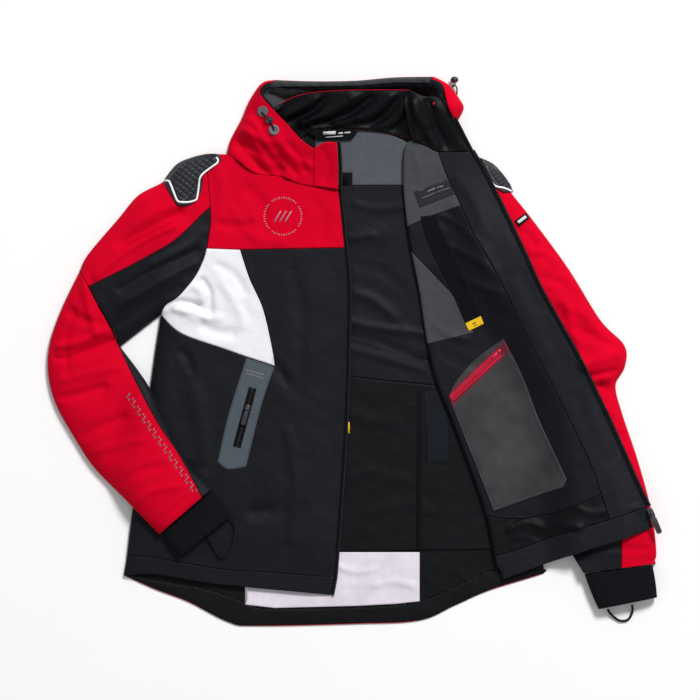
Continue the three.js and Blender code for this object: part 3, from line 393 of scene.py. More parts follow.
def forearm_top(x, y):
    d = inward(FOREARM_SHAPE, [FORE_OUT_R, FORE_IN_R], x, y)
    soft = creases(FOREARM_CREASES, x, y) + 0.5 * grain(x, y, 20, 50, 16, 5)
    loft = mix(ARM_LOFT, FOREARM_LOFT, smooth(60, -60, y))
    return (forearm_base(x, y) + SHELL + loft * rounded(d, 42) + folds(FOREARM_FOLDS, x, y) * smooth(4, 25, d)
            + soft * smooth(2, 16, d))


SLEEVE_L_FOLDS = [(320, -18, 405, -24, 24, 3.5), (352, -52, 392, -52, 22, -4), (300, 60, 350, 30, 22, -2.5)]
SLEEVE_L_CREASES = [(4.5, -2.2, (343, -37), (375, -31), (407, -22)), (6, 2.2, (346, -46), (375, -40), (402, -31)), (9,
    -3.2, (366, -50), (382, -55), (396, -53)), (10, 2.0, (318, 62), (331, 20), (340, -24)), (12, 1.8, (345, -18),
    (375, -8), (404, 0)), (8, -1.6, (330, 35), (360, 20), (395, 5)), (10, 1.4, (310, 75), (335, 60), (365, 38)), (9,
    -1.3, (285, 110), (305, 105), (325, 90)), (8, 1.2, (265, 150), (285, 150), (305, 130)), (8, -1.2, (240, 185),
    (258, 175), (270, 160)), (9, 1.2, (370, -85), (388, -90), (405, -105)), (9, -1.3, (375, -130), (395, -125),
    (418, -138)), (10, -1.0, (395, -200), (415, -190), (440, -205)), (8, 1.2, (395, -240), (420, -232), (445, -250)),
    (7, -1.0, (335, -300), (370, -292), (440, -296))]


def shoulder_flat(y):
    return mix(0.35, 1, smooth(300, 120, y))


def sleeve_top_l(x, y):
    d = inward(SLEEVE_L_SHAPE, [ARM_OUT_L, ARM_IN_L, ARMHOLE_L], x, y)
    loft = ARM_LOFT * shoulder_flat(y) * mix(0.8, 1, smooth(-320, -240, y))
    soft = creases(SLEEVE_L_CREASES, x, y) + 0.5 * grain(x, y, 10, 50, 18, 6)
    return (LINING_TOP - LINING + SHELL + loft * rounded(d, 55) + folds(SLEEVE_L_FOLDS, x, y) * smooth(4, 25, d)
            + soft * smooth(2, 18, d))


def open_under(x, y):
    """The turned front leaves its fold low and lies over the left sleeve."""
    within = inside(SLEEVE_L_SHAPE, x, y)
    sign = np.where(within | (x > 330), 1, -1)
    over = smooth(-45, 20, sign * np.minimum(distance(ARM_IN_L, x, y), distance(ARMHOLE_L, x, y)))
    outer = distance(ARM_OUT_L, x, y)
    lift = (ARM_LOFT - 1) * shoulder_flat(y) * over * mix(0.4, 1, smooth(0, 50, outer))
    return np.maximum(9 + lift, np.where(within, sleeve_top_l(x, y) + 1, 0))


OPEN_FOLDS = [(130, 128, 165, 60, 18, 2), (235, -268, 330, -258, 20, 2.5), (150, 220, 205, 120, 18, 2)]
OPEN_CREASES = [
    # mesh and stretch lining
    (7, 1.3, (128, 205), (150, 190), (178, 168)), (7, -1.2, (135, 195), (158, 178), (172, 170)),
    (8, 1.3, (140, 160), (165, 148), (195, 128)), (8, -1.0, (150, 140), (175, 122), (205, 108)),
    (8, 1.2, (155, 112), (180, 100), (215, 88)), (9, -1.1, (185, 82), (205, 62), (232, 50)),
    (8, 1.1, (118, 40), (140, 26), (165, 20)), (9, -1.0, (130, 0), (165, -18), (190, -18)),
    (7, 1.0, (88, 300), (100, 262), (98, 236)), (6, -0.8, (112, 296), (118, 270), (132, 256)),
    # low lining
    (6, 1.8, (232, -264), (250, -254), (270, -257), (285, -263), (302, -256), (336, -263)),
    (6, -1.6, (226, -276), (250, -268), (280, -276), (305, -268), (340, -270)),
    (8, -1.0, (205, -270), (220, -262), (236, -256)), (7, 1.0, (330, -232), (350, -240), (372, -238)),
    # facing
    (14, -0.5, (175, 262), (190, 232), (212, 190)), (12, 0.5, (150, 262), (178, 222), (196, 180)),
    (14, -0.5, (330, -70), (352, -110), (375, -160)), (12, 0.5, (238, 100), (262, 52), (290, -6)),
]


def open_shell_top(x, y):
    return open_under(x, y) + SHELL


def open_under_lining(x, y):
    return open_shell_top(x, y) + SEAM + np.maximum(0, folds(OPEN_FOLDS, x, y))


def open_top(x, y):
    """Face of the turned front's lining, which rolls over the fold down towards the back."""
    d = np.maximum(0, distance(FOLD, x, y) - 0.1)
    soft = creases(OPEN_CREASES, x, y) + 0.35 * grain(x, y, -55, 60, 22, 7)
    return open_under_lining(x, y) + LINING + 0.2 + shallow(soft, 0.9) * smooth(4, 22, d)


ROLL = 3.45  # outer radius of the turned shell at its fold
ROLL_MIDDLE = 3.7 + ROLL
LINING_ROLL = ROLL + SEAM + LINING
FOLD_FACE = FOLD.shifted(ROLL - LINING_ROLL)


def open_face(x, y):
    d = distance(FOLD_FACE, x, y)
    roll = ROLL_MIDDLE + LINING_ROLL * rounded(d, LINING_ROLL)
    return np.where(d < LINING_ROLL, np.minimum(roll, open_top(x, y)), open_top(x, y))


HOOD_CREASES = [(13, -4.5, (-186, 318), (-162, 304), (-140, 276), (-118, 268)), (8, 2.6, (-178, 338), (-146, 322),
    (-122, 296)), (7, -2.6, (-150, 330), (-132, 300), (-108, 272)), (6, 2.0, (-160, 300), (-138, 284), (-122, 268)),
    (7, -2.0, (-128, 306), (-108, 286), (-88, 268)), (8, 1.6, (-112, 312), (-90, 290), (-66, 278)), (7, -1.4,
    (-98, 308), (-84, 290), (-74, 272)), (8, -1.4, (-158, 376), (-146, 350), (-130, 322)), (7, 1.2, (-166, 352),
    (-150, 340), (-146, 322)), (9, -1.0, (-48, 300), (-40, 280), (-44, 256)), (7, 1.2, (152, 380), (146, 366),
    (150, 350))]


def hood_top(x, y):
    d = inward(HOOD_SHAPE, [HOOD_SIDE_R, HOOD_TOP, HOOD_SIDE_L], x, y)
    soft = np.where(x < 0, mix(75, 14, smooth(345, 400, y)), 20)
    height = mix(12, HOOD_LOFT, smooth(245, 335, y))
    rise = height * rounded(d, soft) + folds([(-185, 320, -120, 285, 22, -3), (-160, 345, -112, 318, 16, 2.5)], x, y)
    return LINING_TOP - LINING + SHELL + rise + (creases(HOOD_CREASES, x, y) + 0.5 * grain(x, y, 35, 40, 15, 8)) * smooth(
        2, 16, d)


def band_top(x, y):
    gathers = 0.8 * np.sin(x / 3.1 + y / 4 + 3 * grain(x, y, 0, 30, 30, 9))
    return hood_top(x, y) + (gathers + 0.8) * smooth(1, 6, distance(HOOD_TOP, x, y))


def well_top(x, y):
    """The hood's lining drops from the rim into the hollow behind the collar."""
    d = np.minimum.reduce([distance(RIM_R, x, y), distance(RIM_TOP, x, y), distance(RIM_L, x, y)])
    soft = creases([(6, 1.6, (-118, 396), (-104, 388), (-92, 388)), (6, -1.6, (-132, 384), (-116, 392), (-100, 394)),
        (6, 1.4, (96, 396), (112, 384), (122, 366))], x, y)
    return LINING_TOP + HOOD_LOFT * mix(0.82, 0.25, smooth(6, 26, d)) + soft * smooth(0, 8, d)


def collar_back_top(x, y):
    soft = creases([(8, 2.4, (-108, 350), (-70, 372), (-48, 388)), (7, -2.6, (-98, 346), (-62, 362), (-40, 386)), (8,
        2.6, (-78, 342), (-30, 362), (8, 388)), (7, -2.8, (-60, 340), (-16, 352), (24, 380)), (9, 2.6, (-28, 342),
        (20, 356), (54, 386)), (7, -2.6, (0, 340), (36, 348), (66, 378)), (8, 1.8, (30, 334), (58, 346), (72, 366)),
        (6, -2.0, (52, 330), (66, 338), (76, 350))], x, y)
    rise = mix(6, HOOD_LOFT - 2, smooth(318, 402, y)) + folds([(-60, 345, -10, 380, 16, 3),
        (10, 345, 60, 378, 16, 3)], x, y)
    return rise + soft * smooth(2, 10, distance(COLLAR_TOP, x, y)) * smooth(0, 8, distance(NECK, x, y))


def collar_left_top(x, y):
    soft = creases([(8, 2.4, (86, 372), (98, 345), (120, 308)), (7, -2.4, (77, 386), (80, 355), (87, 325)), (7, -2.2,
        (108, 374), (117, 345), (138, 308)), (8, 1.5, (124, 366), (140, 338), (158, 308)), (7, 1.6, (96, 384),
        (106, 362), (112, 340)), (6, -1.2, (88, 348), (98, 328), (106, 314))], x, y)
    return (mix(open_top(x, y), HOOD_LOFT, smooth(300, 370, y)) + folds([(92, 320, 92, 380, 12, 3)], x,
        y) + soft * smooth(0, 8, distance(COLLAR_L, x, y)))


BACK_FOLDS = [(5, 172, 40, 178, 22, 2), (10, 42, 70, 32, 24, 2), (10, 86, 50, 60, 22, 1.5)]
BACK_CREASES = [(7, 1.1, (-8, 170), (6, 172), (26, 176)), (9, 0.9, (0, 88), (28, 78), (60, 52)), (7, 1.1, (-12, 48),
    (14, 40), (45, 35), (102, 28)), (6, -1.2, (-14, 30), (30, 18), (62, 5), (84, -3), (112, -10)), (8, 0.9, (-10, 6),
    (40, -8), (100, -26)), (9, -0.8, (10, 130), (40, 122), (66, 100)), (8, 0.7, (0, 222), (30, 214), (70, 218))]


def back_panel_top(x, y):
    soft = creases(BACK_CREASES, x, y) + 0.3 * grain(x, y, 15, 60, 20, 10)
    return LINING_TOP + folds(BACK_FOLDS, x, y) + shallow(soft, 0.8)


LOW_CREASES = [(12, 0.5, (-8, -92), (14, -100), (60, -108)), (12, 0.4, (-6, -190), (20, -180), (80, -192)), (12, 0.4,
    (20, -240), (80, -228), (110, -236))]


def lining_top(x, y):
    return LINING_TOP + 0.35 + shallow(creases(LOW_CREASES, x, y) + 0.3 * grain(x, y, 10, 50, 20, 11), 0.6)


def white_lining_top(x, y):
    return LINING_TOP + 0.4 + creases([(6, 0.9, (-30, -318), (0, -330), (30, -326)), (7, 0.8, (30, -350), (60, -344),
        (90, -352))], x, y) + 0.35 * grain(x, y, 0, 26, 12, 12)


BACK_CREASES_OUT = [(12, 0.9, (-200, 230), (-120, 205), (-20, 200)), (12, 0.9, (160, 230), (90, 205), (10, 200)), (14,
    0.8, (-260, 20), (-150, 10), (-40, 26)), (14, 0.8, (210, 10), (120, -6), (20, 8)), (12, 0.8, (-290, -120),
    (-180, -140), (-90, -130)), (12, 0.8, (230, -130), (150, -150), (60, -140)), (13, 0.8, (-240, -260), (-120, -270),
    (0, -262)), (10, 0.8, (-330, 180), (-300, 150), (-262, 120)), (10, 0.8, (-380, 110), (-350, 90), (-320, 70)), (10,
    0.8, (290, 120), (320, 70), (350, 30)), (10, 0.8, (340, -40), (370, -60), (395, -60)), (10, 0.8, (350, -160),
    (380, -180), (420, -180))]


def back_top(x, y):
    """Outer back: its creases rise from the floor into the jacket, and it stays under the lining."""
    return SHELL + np.clip(creases(BACK_CREASES_OUT, x, y), 0, 0.9) + 0.12 * (1 + grain(x, y, 20, 70, 25, 13))


def lifted(surface, by):
    return lambda x, y: surface(x, y) + by


# ---------------------------------------------------------------- materials
EXPOSURE = 1.12  # light that a level white surface takes


def colour(r, g, b):
    """A base colour that renders as this sRGB colour on a level surface."""
    def linear(v):
        v /= 255
        return v / 12.92 if v <= 0.04045 else ((v + 0.055) / 1.055) ** 2.4
    return tuple(linear(v) / EXPOSURE for v in (r, g, b)) + (1,)


class Material:
    """Node helpers around one material with a Principled shader."""

    def __init__(self, name, roughness, metallic=0.0, specular=0.5, sheen=0.0):
        self.material = bpy.data.materials.new(name)
        self.material.use_nodes = True
        self.tree = self.material.node_tree
        self.shader = self.tree.nodes["Principled BSDF"]
        self.shader.inputs["Roughness"].default_value = roughness
        self.shader.inputs["Metallic"].default_value = metallic
        self.shader.inputs["Specular IOR Level"].default_value = specular
        self.shader.inputs["Sheen Weight"].default_value = sheen
        self.shader.inputs["Sheen Roughness"].default_value = 0.5
        self.place = self.tree.nodes.new("ShaderNodeTexCoord").outputs["Object"]

    def node(self, kind, **values):
        made = self.tree.nodes.new("ShaderNode" + kind)
        for key, value in values.items():
            if hasattr(made, key) and key not in made.inputs:
                setattr(made, key, value)
            else:
                self.put(made.inputs[key], value)
        return made

    def put(self, socket, value):
        if isinstance(value, bpy.types.NodeSocket):
            self.tree.links.new(value, socket)
        else:
            socket.default_value = value

    def math(self, operation, a, b=0.0):
        made = self.node("Math", operation=operation)
        self.put(made.inputs[0], a)
        self.put(made.inputs[1], b)
        return made.outputs[0]

    def mapped(self, turn):
        made = self.node("Mapping", Vector=self.place)
        made.inputs["Rotation"].default_value = (0, 0, turn)
        return made.outputs[0]

    def noise(self, size, detail=2.0):
        """Noise with features about size millimetres across."""
        return self.node("TexNoise", Vector=self.place, Scale=1 / (size * MM), Detail=detail).outputs["Fac"]

    def blend(self, amount, a, b):
        made = self.tree.nodes.new("ShaderNodeMix")
        made.data_type = "RGBA"
        self.put(made.inputs[0], amount)
        self.put(made.inputs[6], a)
        self.put(made.inputs[7], b)
        return made.outputs[2]

    def ramp(self, value, start, end):
        made = self.node("MapRange", Value=value)
        made.inputs["From Min"].default_value = start
        made.inputs["From Max"].default_value = end
        return made.outputs[0]

    def ripples(self, pitch, turn=0.0):
        """Sine rows of this pitch in millimetres, from -1 to 1."""
        x = self.node("SeparateXYZ", Vector=self.mapped(turn)).outputs["X"]
        return self.math("SINE", self.math("MULTIPLY", x, 2 * math.pi / (pitch * MM)))

    def bump(self, height, depth, strength=1.0, under=None):
        made = self.node("Bump", Height=height, Strength=strength, Distance=depth * MM)
        if under is not None:
            self.put(made.inputs["Normal"], under)
        return made.outputs[0]

    def done(self, base, normal=None):
        self.put(self.shader.inputs["Base Color"], base)
        if normal is not None:
            self.put(self.shader.inputs["Normal"], normal)
        return self.material


def shade(base, factor):
    return tuple(c * factor for c in base[:3]) + (1,)


def softshell(name, base, light=1.12, dark=0.86, pitch=1.1, sheen=0.0, specular=0.13, roughness=0.55):
    """Smooth-faced softshell: a fine crossed weave, soft mottling and small puckers."""
    m = Material(name, roughness, specular=specular, sheen=sheen)
    weave = m.math("MULTIPLY", m.ripples(pitch, math.radians(40)), m.ripples(pitch, math.radians(-50)))
    mottle = m.math("ADD", m.math("MULTIPLY", m.noise(45, 3), 0.7), m.math("MULTIPLY", m.noise(2.2, 2), 0.3))
    tone = m.blend(m.ramp(mottle, 0.3, 0.7), shade(base, dark), shade(base, light))
    tone = m.blend(m.math("MULTIPLY", m.ramp(weave, -1, 1), 0.18), tone, shade(base, dark * 0.8))
    puckers = m.bump(m.noise(24, 3), 2.4, 0.7)
    return m.done(tone, m.bump(weave, 0.1, 0.5, puckers))


def mesh_cloth(name, thread, hole, pitch):
    """Spacer mesh: rows of small round holes, staggered."""
    m = Material(name, 0.9, specular=0.2, sheen=0.1)
    dots = m.math("MULTIPLY", m.ripples(pitch, math.radians(45)), m.ripples(pitch, math.radians(-45)))
    depth = m.ramp(dots, 0.05, 0.55)
    tone = m.blend(m.ramp(m.noise(30, 3), 0.3, 0.7), shade(thread, 0.9), shade(thread, 1.1))
    return m.done(m.blend(depth, tone, hole), m.bump(m.math("SUBTRACT", 1, depth), 0.35, 0.8, m.bump(m.noise(12, 2),
        0.6, 0.4)))


def ribbed(name, base, pitch, turn=0.0, roughness=0.85, depth=0.3, specular=0.12):
    """Rib knit, grosgrain or braid: rows across a direction."""
    m = Material(name, roughness, specular=specular, sheen=0.05)
    rows = m.math("MULTIPLY", m.ripples(pitch, turn), m.math("ADD", 1.4, m.ripples(pitch * 0.8, turn + math.pi / 2)))
    tone = m.blend(m.ramp(rows, -2, 2), shade(base, 0.7), shade(base, 1.2))
    tone = m.blend(m.math("MULTIPLY", m.noise(0.6, 3), 0.25), tone, shade(base, 0.6))
    return m.done(tone, m.bump(rows, depth, 0.6))


def moulded(name, base, roughness=0.5, grain_size=0.5, metallic=0.0, specular=0.5, wear=1.35):
    """Moulded plastic, rubber or cast metal with a fine skin grain and lighter worn spots."""
    m = Material(name, roughness, metallic, specular)
    spots = m.ramp(m.noise(7, 5), 0.52, 0.75)
    rough = m.ramp(m.noise(3, 3), 0, 1)
    m.put(m.shader.inputs["Roughness"], m.math("ADD", roughness - 0.1, m.math("MULTIPLY", rough, 0.2)))
    return m.done(m.blend(spots, base, shade(base, wear)), m.bump(m.noise(grain_size, 2), 0.12, 0.5))


RED = colour(216, 0, 38)
BLACK = colour(18, 19, 26)
WHITE = colour(243, 244, 249)
MAT = {"red": softshell("red_softshell", RED, 1.06, 0.9, specular=0.04, roughness=0.8),
    "black": softshell("black_softshell", BLACK, 1.2, 0.82), "back": softshell("back_softshell", colour(8, 9, 14),
    1.2, 0.82), "facing": softshell("facing_softshell", colour(23, 24, 30), 1.15, 0.86),
    "collar": softshell("collar_softshell", colour(7, 8, 13), 1.4, 0.7, specular=0.16, roughness=0.45),
    "rim": softshell("hood_rim_cloth", colour(34, 35, 41), 1.5, 0.55, specular=0.15),
    "white": softshell("white_softshell", WHITE, 1.0, 0.965, specular=0.2), "grey_mesh": mesh_cloth("grey_mesh",
    colour(93, 97, 104), colour(52, 56, 62), 2.4), "left_mesh": mesh_cloth("left_mesh", colour(76, 77, 81),
    colour(42, 43, 47), 2.3), "stretch": softshell("stretch_lining", colour(18, 19, 25), 1.2, 0.85, pitch=1.6),
    "panel": softshell("pocket_panel_lining", colour(20, 21, 27), 1.18, 0.85, pitch=1.8),
    "low": softshell("low_lining", colour(9, 10, 15), 1.25, 0.8, pitch=1.6), "inner_white": mesh_cloth("inner_white",
    colour(238, 230, 241), colour(226, 217, 231), 2.4), "trim": ribbed("blue_grey_trim", colour(86, 95, 104), 1.4,
    0.3, depth=0.15), "pocket_back": ribbed("pocket_reverse_cloth", colour(24, 27, 36), 2.2, math.radians(45),
    # Grey hood lining, made lighter as painted light: it fills the patch where the lining is lit.
    depth=0.2), "lit_hood_lining": mesh_cloth("hood_lining_painted_light", colour(64, 65, 70), colour(44, 45, 50), 2.2),
    "tape": ribbed("zip_tape", colour(9, 10, 15), 1.6, 0, depth=0.15), "strap": ribbed("strap_webbing",
    colour(4, 6, 14), 2.0, math.radians(28), depth=0.25), "rib": ribbed("rib_knit", colour(9, 11, 17), 1.6,
    math.radians(40), depth=0.15), "cord": ribbed("loop_cord", colour(14, 15, 18), 1.2, 0.4, depth=0.2,
    roughness=0.7), "yellow": ribbed("yellow_tag", colour(255, 203, 38), 1.0, 0.6, depth=0.08),
    "rubber": moulded("guard_rubber", colour(36, 37, 42), 0.45, 0.4, specular=0.25),
    "lock": moulded("cord_lock_plastic", colour(30, 31, 35), 0.4, 0.5), "eyelet": moulded("eyelet_rubber",
    colour(96, 99, 103), 0.5, 0.5), "alloy": moulded("zip_alloy", colour(64, 65, 70), 0.4, 0.3, metallic=0.5,
    wear=1.8), "teeth": moulded("zip_teeth", colour(30, 31, 36), 0.4, 0.3), "red_teeth": moulded("red_zip_teeth",
    colour(214, 30, 62), 0.45, 0.3), "red_tape": ribbed("red_zip_tape", colour(204, 28, 62), 1.3, math.radians(40),
    depth=0.12), "thread": ribbed("black_thread", colour(36, 37, 43), 0.5, 0.7, depth=0.1),
    "red_thread": ribbed("red_thread", colour(196, 10, 44), 0.5, 0.7, depth=0.1, specular=0.1),
    "white_thread": ribbed("white_thread", colour(226, 226, 234), 0.5, 0.7, depth=0.1),
    "piping": moulded("white_piping", colour(246, 246, 246), 0.5, 0.6, wear=1.0), "print": moulded("silver_print",
    colour(150, 138, 146), 0.5, 0.3, wear=1.1), "dark_print": moulded("dark_print", colour(112, 108, 116), 0.5, 0.3,
    wear=1.1), "label": ribbed("woven_label", colour(10, 11, 15), 0.7, 0.2, depth=0.06),
    "grey_label": ribbed("grey_woven_label", colour(46, 47, 52), 0.7, 0.2, depth=0.06),
    "label_white": ribbed("woven_label_white", colour(226, 227, 230), 0.7, 0.2, depth=0.06),}


def inner_pocket_material():
    """Coated grey cloth with a fine grain, tinted red beside its zip."""
    m = Material("inner_pocket_coating", 0.45, specular=0.15)
    start, end = in_frame((216.5, -1.5, 0)), in_frame((144, -70.5, 0))
    turn = math.atan2(end[1] - start[1], end[0] - start[0])
    across = m.node("VectorMath", operation="SUBTRACT")
    m.put(across.inputs[0], m.place)
    across.inputs[1].default_value = start
    away = m.node("VectorMath", operation="DOT_PRODUCT")
    m.put(away.inputs[0], across.outputs[0])
    away.inputs[1].default_value = (-math.sin(turn), math.cos(turn), 0)
    near = m.ramp(m.math("ABSOLUTE", away.outputs["Value"]), 12 * MM, 4 * MM)
    grey = m.blend(m.ramp(m.noise(40, 3), 0.3, 0.7), colour(50, 50, 53), colour(68, 68, 71))
    tone = m.blend(m.math("MULTIPLY", near, 0.75), grey, colour(120, 26, 48))
    return m.done(tone, m.bump(m.noise(0.7, 3), 0.12, 0.5, m.bump(m.noise(25, 2), 0.8, 0.4)))


MAT["inner_pocket"] = inner_pocket_material()


# ---------------------------------------------------------------- meshes
def make(name, points, faces, material, nodes=(), body="garment", slot=None):
    """One piece of the visual model, from points in garment millimetres."""
    data = bpy.data.meshes.new(name)
    data.from_pydata(in_frame(points).tolist(), [], [list(map(int, f)) for f in faces])
    data.update()
    data.shade_smooth()
    data.materials.append(MAT[material])
    made = bpy.data.objects.new(name, data)
    scene.collection.objects.link(made)
    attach(made, body)
    if nodes:
        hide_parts(*nodes)
    return made


def vertex_normals(points, triangles):
    a, b, c = (points[triangles[:, k]] for k in range(3))
    face = np.cross(b - a, c - a)
    normal = np.zeros_like(points)
    for k in range(3):
        np.add.at(normal, triangles[:, k], face)
    return normal / np.maximum(1e-9, np.linalg.norm(normal, axis=1))[:, None]


def wall(points, triangles, thickness):
    """A closed wall under a sheet of triangles: its points, its faces, and the sheet's area."""
    normal = vertex_normals(points, triangles)
    n = len(points)
    edges = np.vstack([triangles[:, [0, 1]], triangles[:, [1, 2]], triangles[:, [2, 0]]])
    coded = edges[:, 0] * n + edges[:, 1]
    rim = edges[~np.isin(coded, edges[:, 1] * n + edges[:, 0])]
    faces = triangles.tolist() + (triangles[:, ::-1] + n).tolist()
    faces += [[b, a, a + n, b + n] for a, b in rim.tolist()]
    a, b, c = (points[triangles[:, k]] for k in range(3))
    area = np.linalg.norm(np.cross(b - a, c - a), axis=1).sum() / 2
    return np.vstack([points, points - thickness * normal]), faces, area


def net(shape, pitch, rings):
    """Triangles over an outline: its own points, rings just inside it, then an even net."""
    clear = inset(shape, SEAM / 2)
    low, high = clear.min(0), clear.max(0)
    xs, ys = np.arange(low[0], high[0], pitch), np.arange(low[1], high[1], pitch * 0.866)
    gx, gy = np.meshgrid(xs, ys)
    gx[1::2] += pitch / 2
    sets = [(inset(clear, r), r * 0.85) for r in rings] + [(np.stack([gx.ravel(), gy.ravel()], 1),
        rings[-1] + pitch * 0.6)]
    closed = np.vstack([clear, clear[:1]])
    chosen = [clear]
    for candidates, least in sets:
        x, y = candidates.T
        within = inside(clear, x, y)
        candidates = candidates[within]
        far = distance(closed, *candidates.T) >= least
        chosen.append(candidates[far])
    plan = np.vstack(chosen)
    count = len(clear)
    out = delaunay_2d_cdt([Vector(p) for p in plan.tolist()], [], [list(range(count))], 1, 1e-4)
    plan = np.array([tuple(v) for v in out[0]])
    triangles = np.array([f for f in out[2] if len(f) == 3])
    a, b, c = (plan[triangles[:, k]] for k in range(3))
    ab, ac = b - a, c - a
    turned = ab[:, 0] * ac[:, 1] - ab[:, 1] * ac[:, 0] < 0
    triangles[turned] = triangles[turned][:, ::-1]
    used, triangles = np.unique(triangles, return_inverse=True)
    plan, triangles = plan[used], triangles.reshape(-1, 3)
    return plan, triangles, closed


def draped(shape, surface, thickness, pitch=4.5, rings=(1.3, 3.5), dip=0.7, tuck=()):
    """A closed wall over an outline on a height surface. Its seam edges dip; an edge near a tuck line
    (line, how far in, height) turns under to that height."""
    plan, triangles, closed = net(shape, pitch, rings)
    x, y = plan.T
    z = surface(x, y)
    edge = distance(closed, x, y) < 0.05
    z = z - np.where(edge, dip, 0)
    moved = plan.copy()
    for path, by, height in tuck:
        near = edge & (distance(path, x, y) < 1.2)
        if not near.any():
            continue
        step = inset(closed[:-1], by) - closed[:-1]
        nearest = ((plan[near][:, None] - closed[None, :-1]) ** 2).sum(2).argmin(1)
        moved[near] = plan[near] + step[nearest]
        z[near] = height(*plan[near].T) if callable(height) else height
    return wall(np.column_stack([moved, z]), triangles, thickness)


def flat_cut(plan, area):
    """Width and length of the rectangle that a piece is cut from: along its own run, or as a strip."""
    centred = plan - plan.mean(0)
    turned = centred @ np.linalg.svd(centred, full_matrices=False)[2].T
    width, length = sorted(np.ptp(turned, axis=0))
    if area < 0.36 * width * length:
        length = np.linalg.norm(np.diff(np.vstack([plan, plan[:1]]), axis=0), axis=1).sum() / 2
        width = 1.1 * area / length
    grow = max(1, math.sqrt(area / (width * length)) * 1.001)
    return max(10.5, width * grow) * MM, max(10.5, length * grow) * MM


def cloth(name, material, shape, surface, thickness, node=None, held="laid", slot=None, **options):
    points, faces, area = draped(shape, surface, thickness, **options)
    made = make(name, points, faces, material, [node] if node else (), slot=slot)
    flat = flat_cut(shape, area)
    area = max(area * MM * MM, 0.31 * flat[0] * flat[1])
    return made


def tube(points, radius, sides=8, flatten=1.0):
    """A closed round tube through points in space."""
    p = np.asarray(points, float)
    run = np.gradient(p, axis=0)
    run /= np.linalg.norm(run, axis=1)[:, None]
    side = np.cross(run, (0, 0, 1.0))
    side /= np.maximum(1e-6, np.linalg.norm(side, axis=1))[:, None]
    over = np.cross(side, run)
    turn = 2 * np.pi * np.arange(sides) / sides
    ring = side[:, None] * np.cos(turn)[:, None] + flatten * over[:, None] * np.sin(turn)[:, None]
    verts = (p[:, None] + radius * ring).reshape(-1, 3)
    n = len(p)
    return verts, loops(n, sides) + ends(n, sides)


def loops(rings, count, closed=False):
    """Faces between rings of count points each, and back to the first ring if closed."""
    last = rings if closed else rings - 1
    return [[r * count + k, r * count + (k + 1) % count, (r + 1) % rings * count + (k + 1) % count,
        (r + 1) % rings * count + k] for r in range(last) for k in range(count)]


def ends(rings, count):
    """The two faces that shut a form made of rings."""
    return [list(range(count))[::-1], list(range((rings - 1) * count, rings * count))]


def on(surface, plan, lift=0.0):
    """Points of the plan, on a surface or lifted off it."""
    plan = np.asarray(plan, float)
    return np.column_stack([plan, surface(*plan.T) + lift])


def merged(parts):
    verts, faces, base = [], [], 0
    for v, f in parts:
        verts.append(v)
        faces += [[i + base for i in face] for face in f]
        base += len(v)
    return np.vstack(verts), faces


def blocks(places, ways, size, taper=0.75, sides=6):
    """Small rounded blocks (length, width, height) that stand at places, each along its way."""
    turn = 2 * np.pi * (np.arange(sides) + 0.5) / sides
    ring = np.stack([np.cos(turn), np.sin(turn)], 1) * (size[0] / 2, size[1] / 2)
    template = np.vstack([np.column_stack([ring, np.full(sides, -size[2] / 2)]), np.column_stack([ring * taper,
        np.full(sides, size[2] / 2)])])
    c, s = ways[:, 0, None], ways[:, 1, None]
    x = template[:, 0] * c - template[:, 1] * s
    y = template[:, 0] * s + template[:, 1] * c
    verts = np.stack([x, y, np.broadcast_to(template[:, 2], x.shape)], 2) + places[:, None]
    one = [list(range(sides))[::-1], list(range(sides, 2 * sides))]
    one += [[k, (k + 1) % sides, sides + (k + 1) % sides, sides + k] for k in range(sides)]
    faces = [[i + b * 2 * sides for i in face] for b in range(len(places)) for face in one]
    return verts.reshape(-1, 3), faces


def under(*lines, height=0.9):
    """Tucks that turn a piece's edge under along these lines."""
    return [(path, 0.6, height) for path in lines]


# ---------------------------------------------------------------- free cords
def thumb_loop(name, node, diameter, *knots):
    path = bend(*knots, step=2).points
    points, faces = tube(path, diameter / 2, 12)
    made = make(name, points, faces, "cord", [node])
    return made


thumb_loop("loop_right", "thumb_loop_r", 3, (-184, -247, 22.5), (-180, -258, 20), (-180, -272, 17.6),
    (-185, -295, 16.2), (-195, -307, 15.4), (-205, -304, 15.6), (-212, -292, 16.6), (-216, -282, 19),
    (-218, -275.5, 22))
thumb_loop("loop_left", "thumb_loop_l", 3.5, (379, -386, 8), (382, -391, 5), (389, -398, 2.6), (398, -403, 2),
    (408, -402, 2), (414, -395, 2.6), (416, -386, 5), (415, -379.5, 8))

# ---------------------------------------------------------------- back
cloth("back_outer", "back", outline(SHOULDER_R, NECK_R, NECK, NECK_L, SHOULDER_L, ARMHOLE_L, SIDE_L, -HEM_BAND,
    -SIDE_R, -UNDERARM_R, -ARMHOLE_R, -ARMHOLE_TOP_R), back_top, SHELL, "back_body", pitch=8, dip=0.2)
cloth("back_hem", "back", outline(HEM_BACK, -HEM_BAND), lambda x, y: SHELL + 0.9 * smooth(0, 7,
    distance(HEM_BACK, x, y)) + 0.5 * grain(x, y, 0, 60, 40, 14) + 0.5, SHELL, "back_hem_band", pitch=4.5, dip=0.5)
cloth("back_yoke_lining", "grey_mesh", outline(NECK[1:3], line((50, 328), (84, 312), (112, 250)), -PANEL_TOP),
    lifted(back_panel_top, 0), LINING, "back_lining_yoke", pitch=5)
cloth("back_panel", "panel", outline(PANEL_TOP, line((112, 250), (150, -52)), -POCKET_HEM),
    lifted(back_panel_top, 0.3), LINING, "back_pocket_panel", pitch=4, dip=0.3)
cloth("back_low_lining", "low", outline(POCKET_HEM, line((150, -52), (230, -296)), -LOWER_HEM), lining_top, LINING,
    "back_lining_lower", pitch=5)
cloth("back_white_lining", "inner_white", outline(line((-165, -300), (97, -300), (97, -374), (60, -378), (0, -381),
    (-120, -384), (-165, -379))), white_lining_top, LINING, "back_lining_white", pitch=4, dip=0.4)
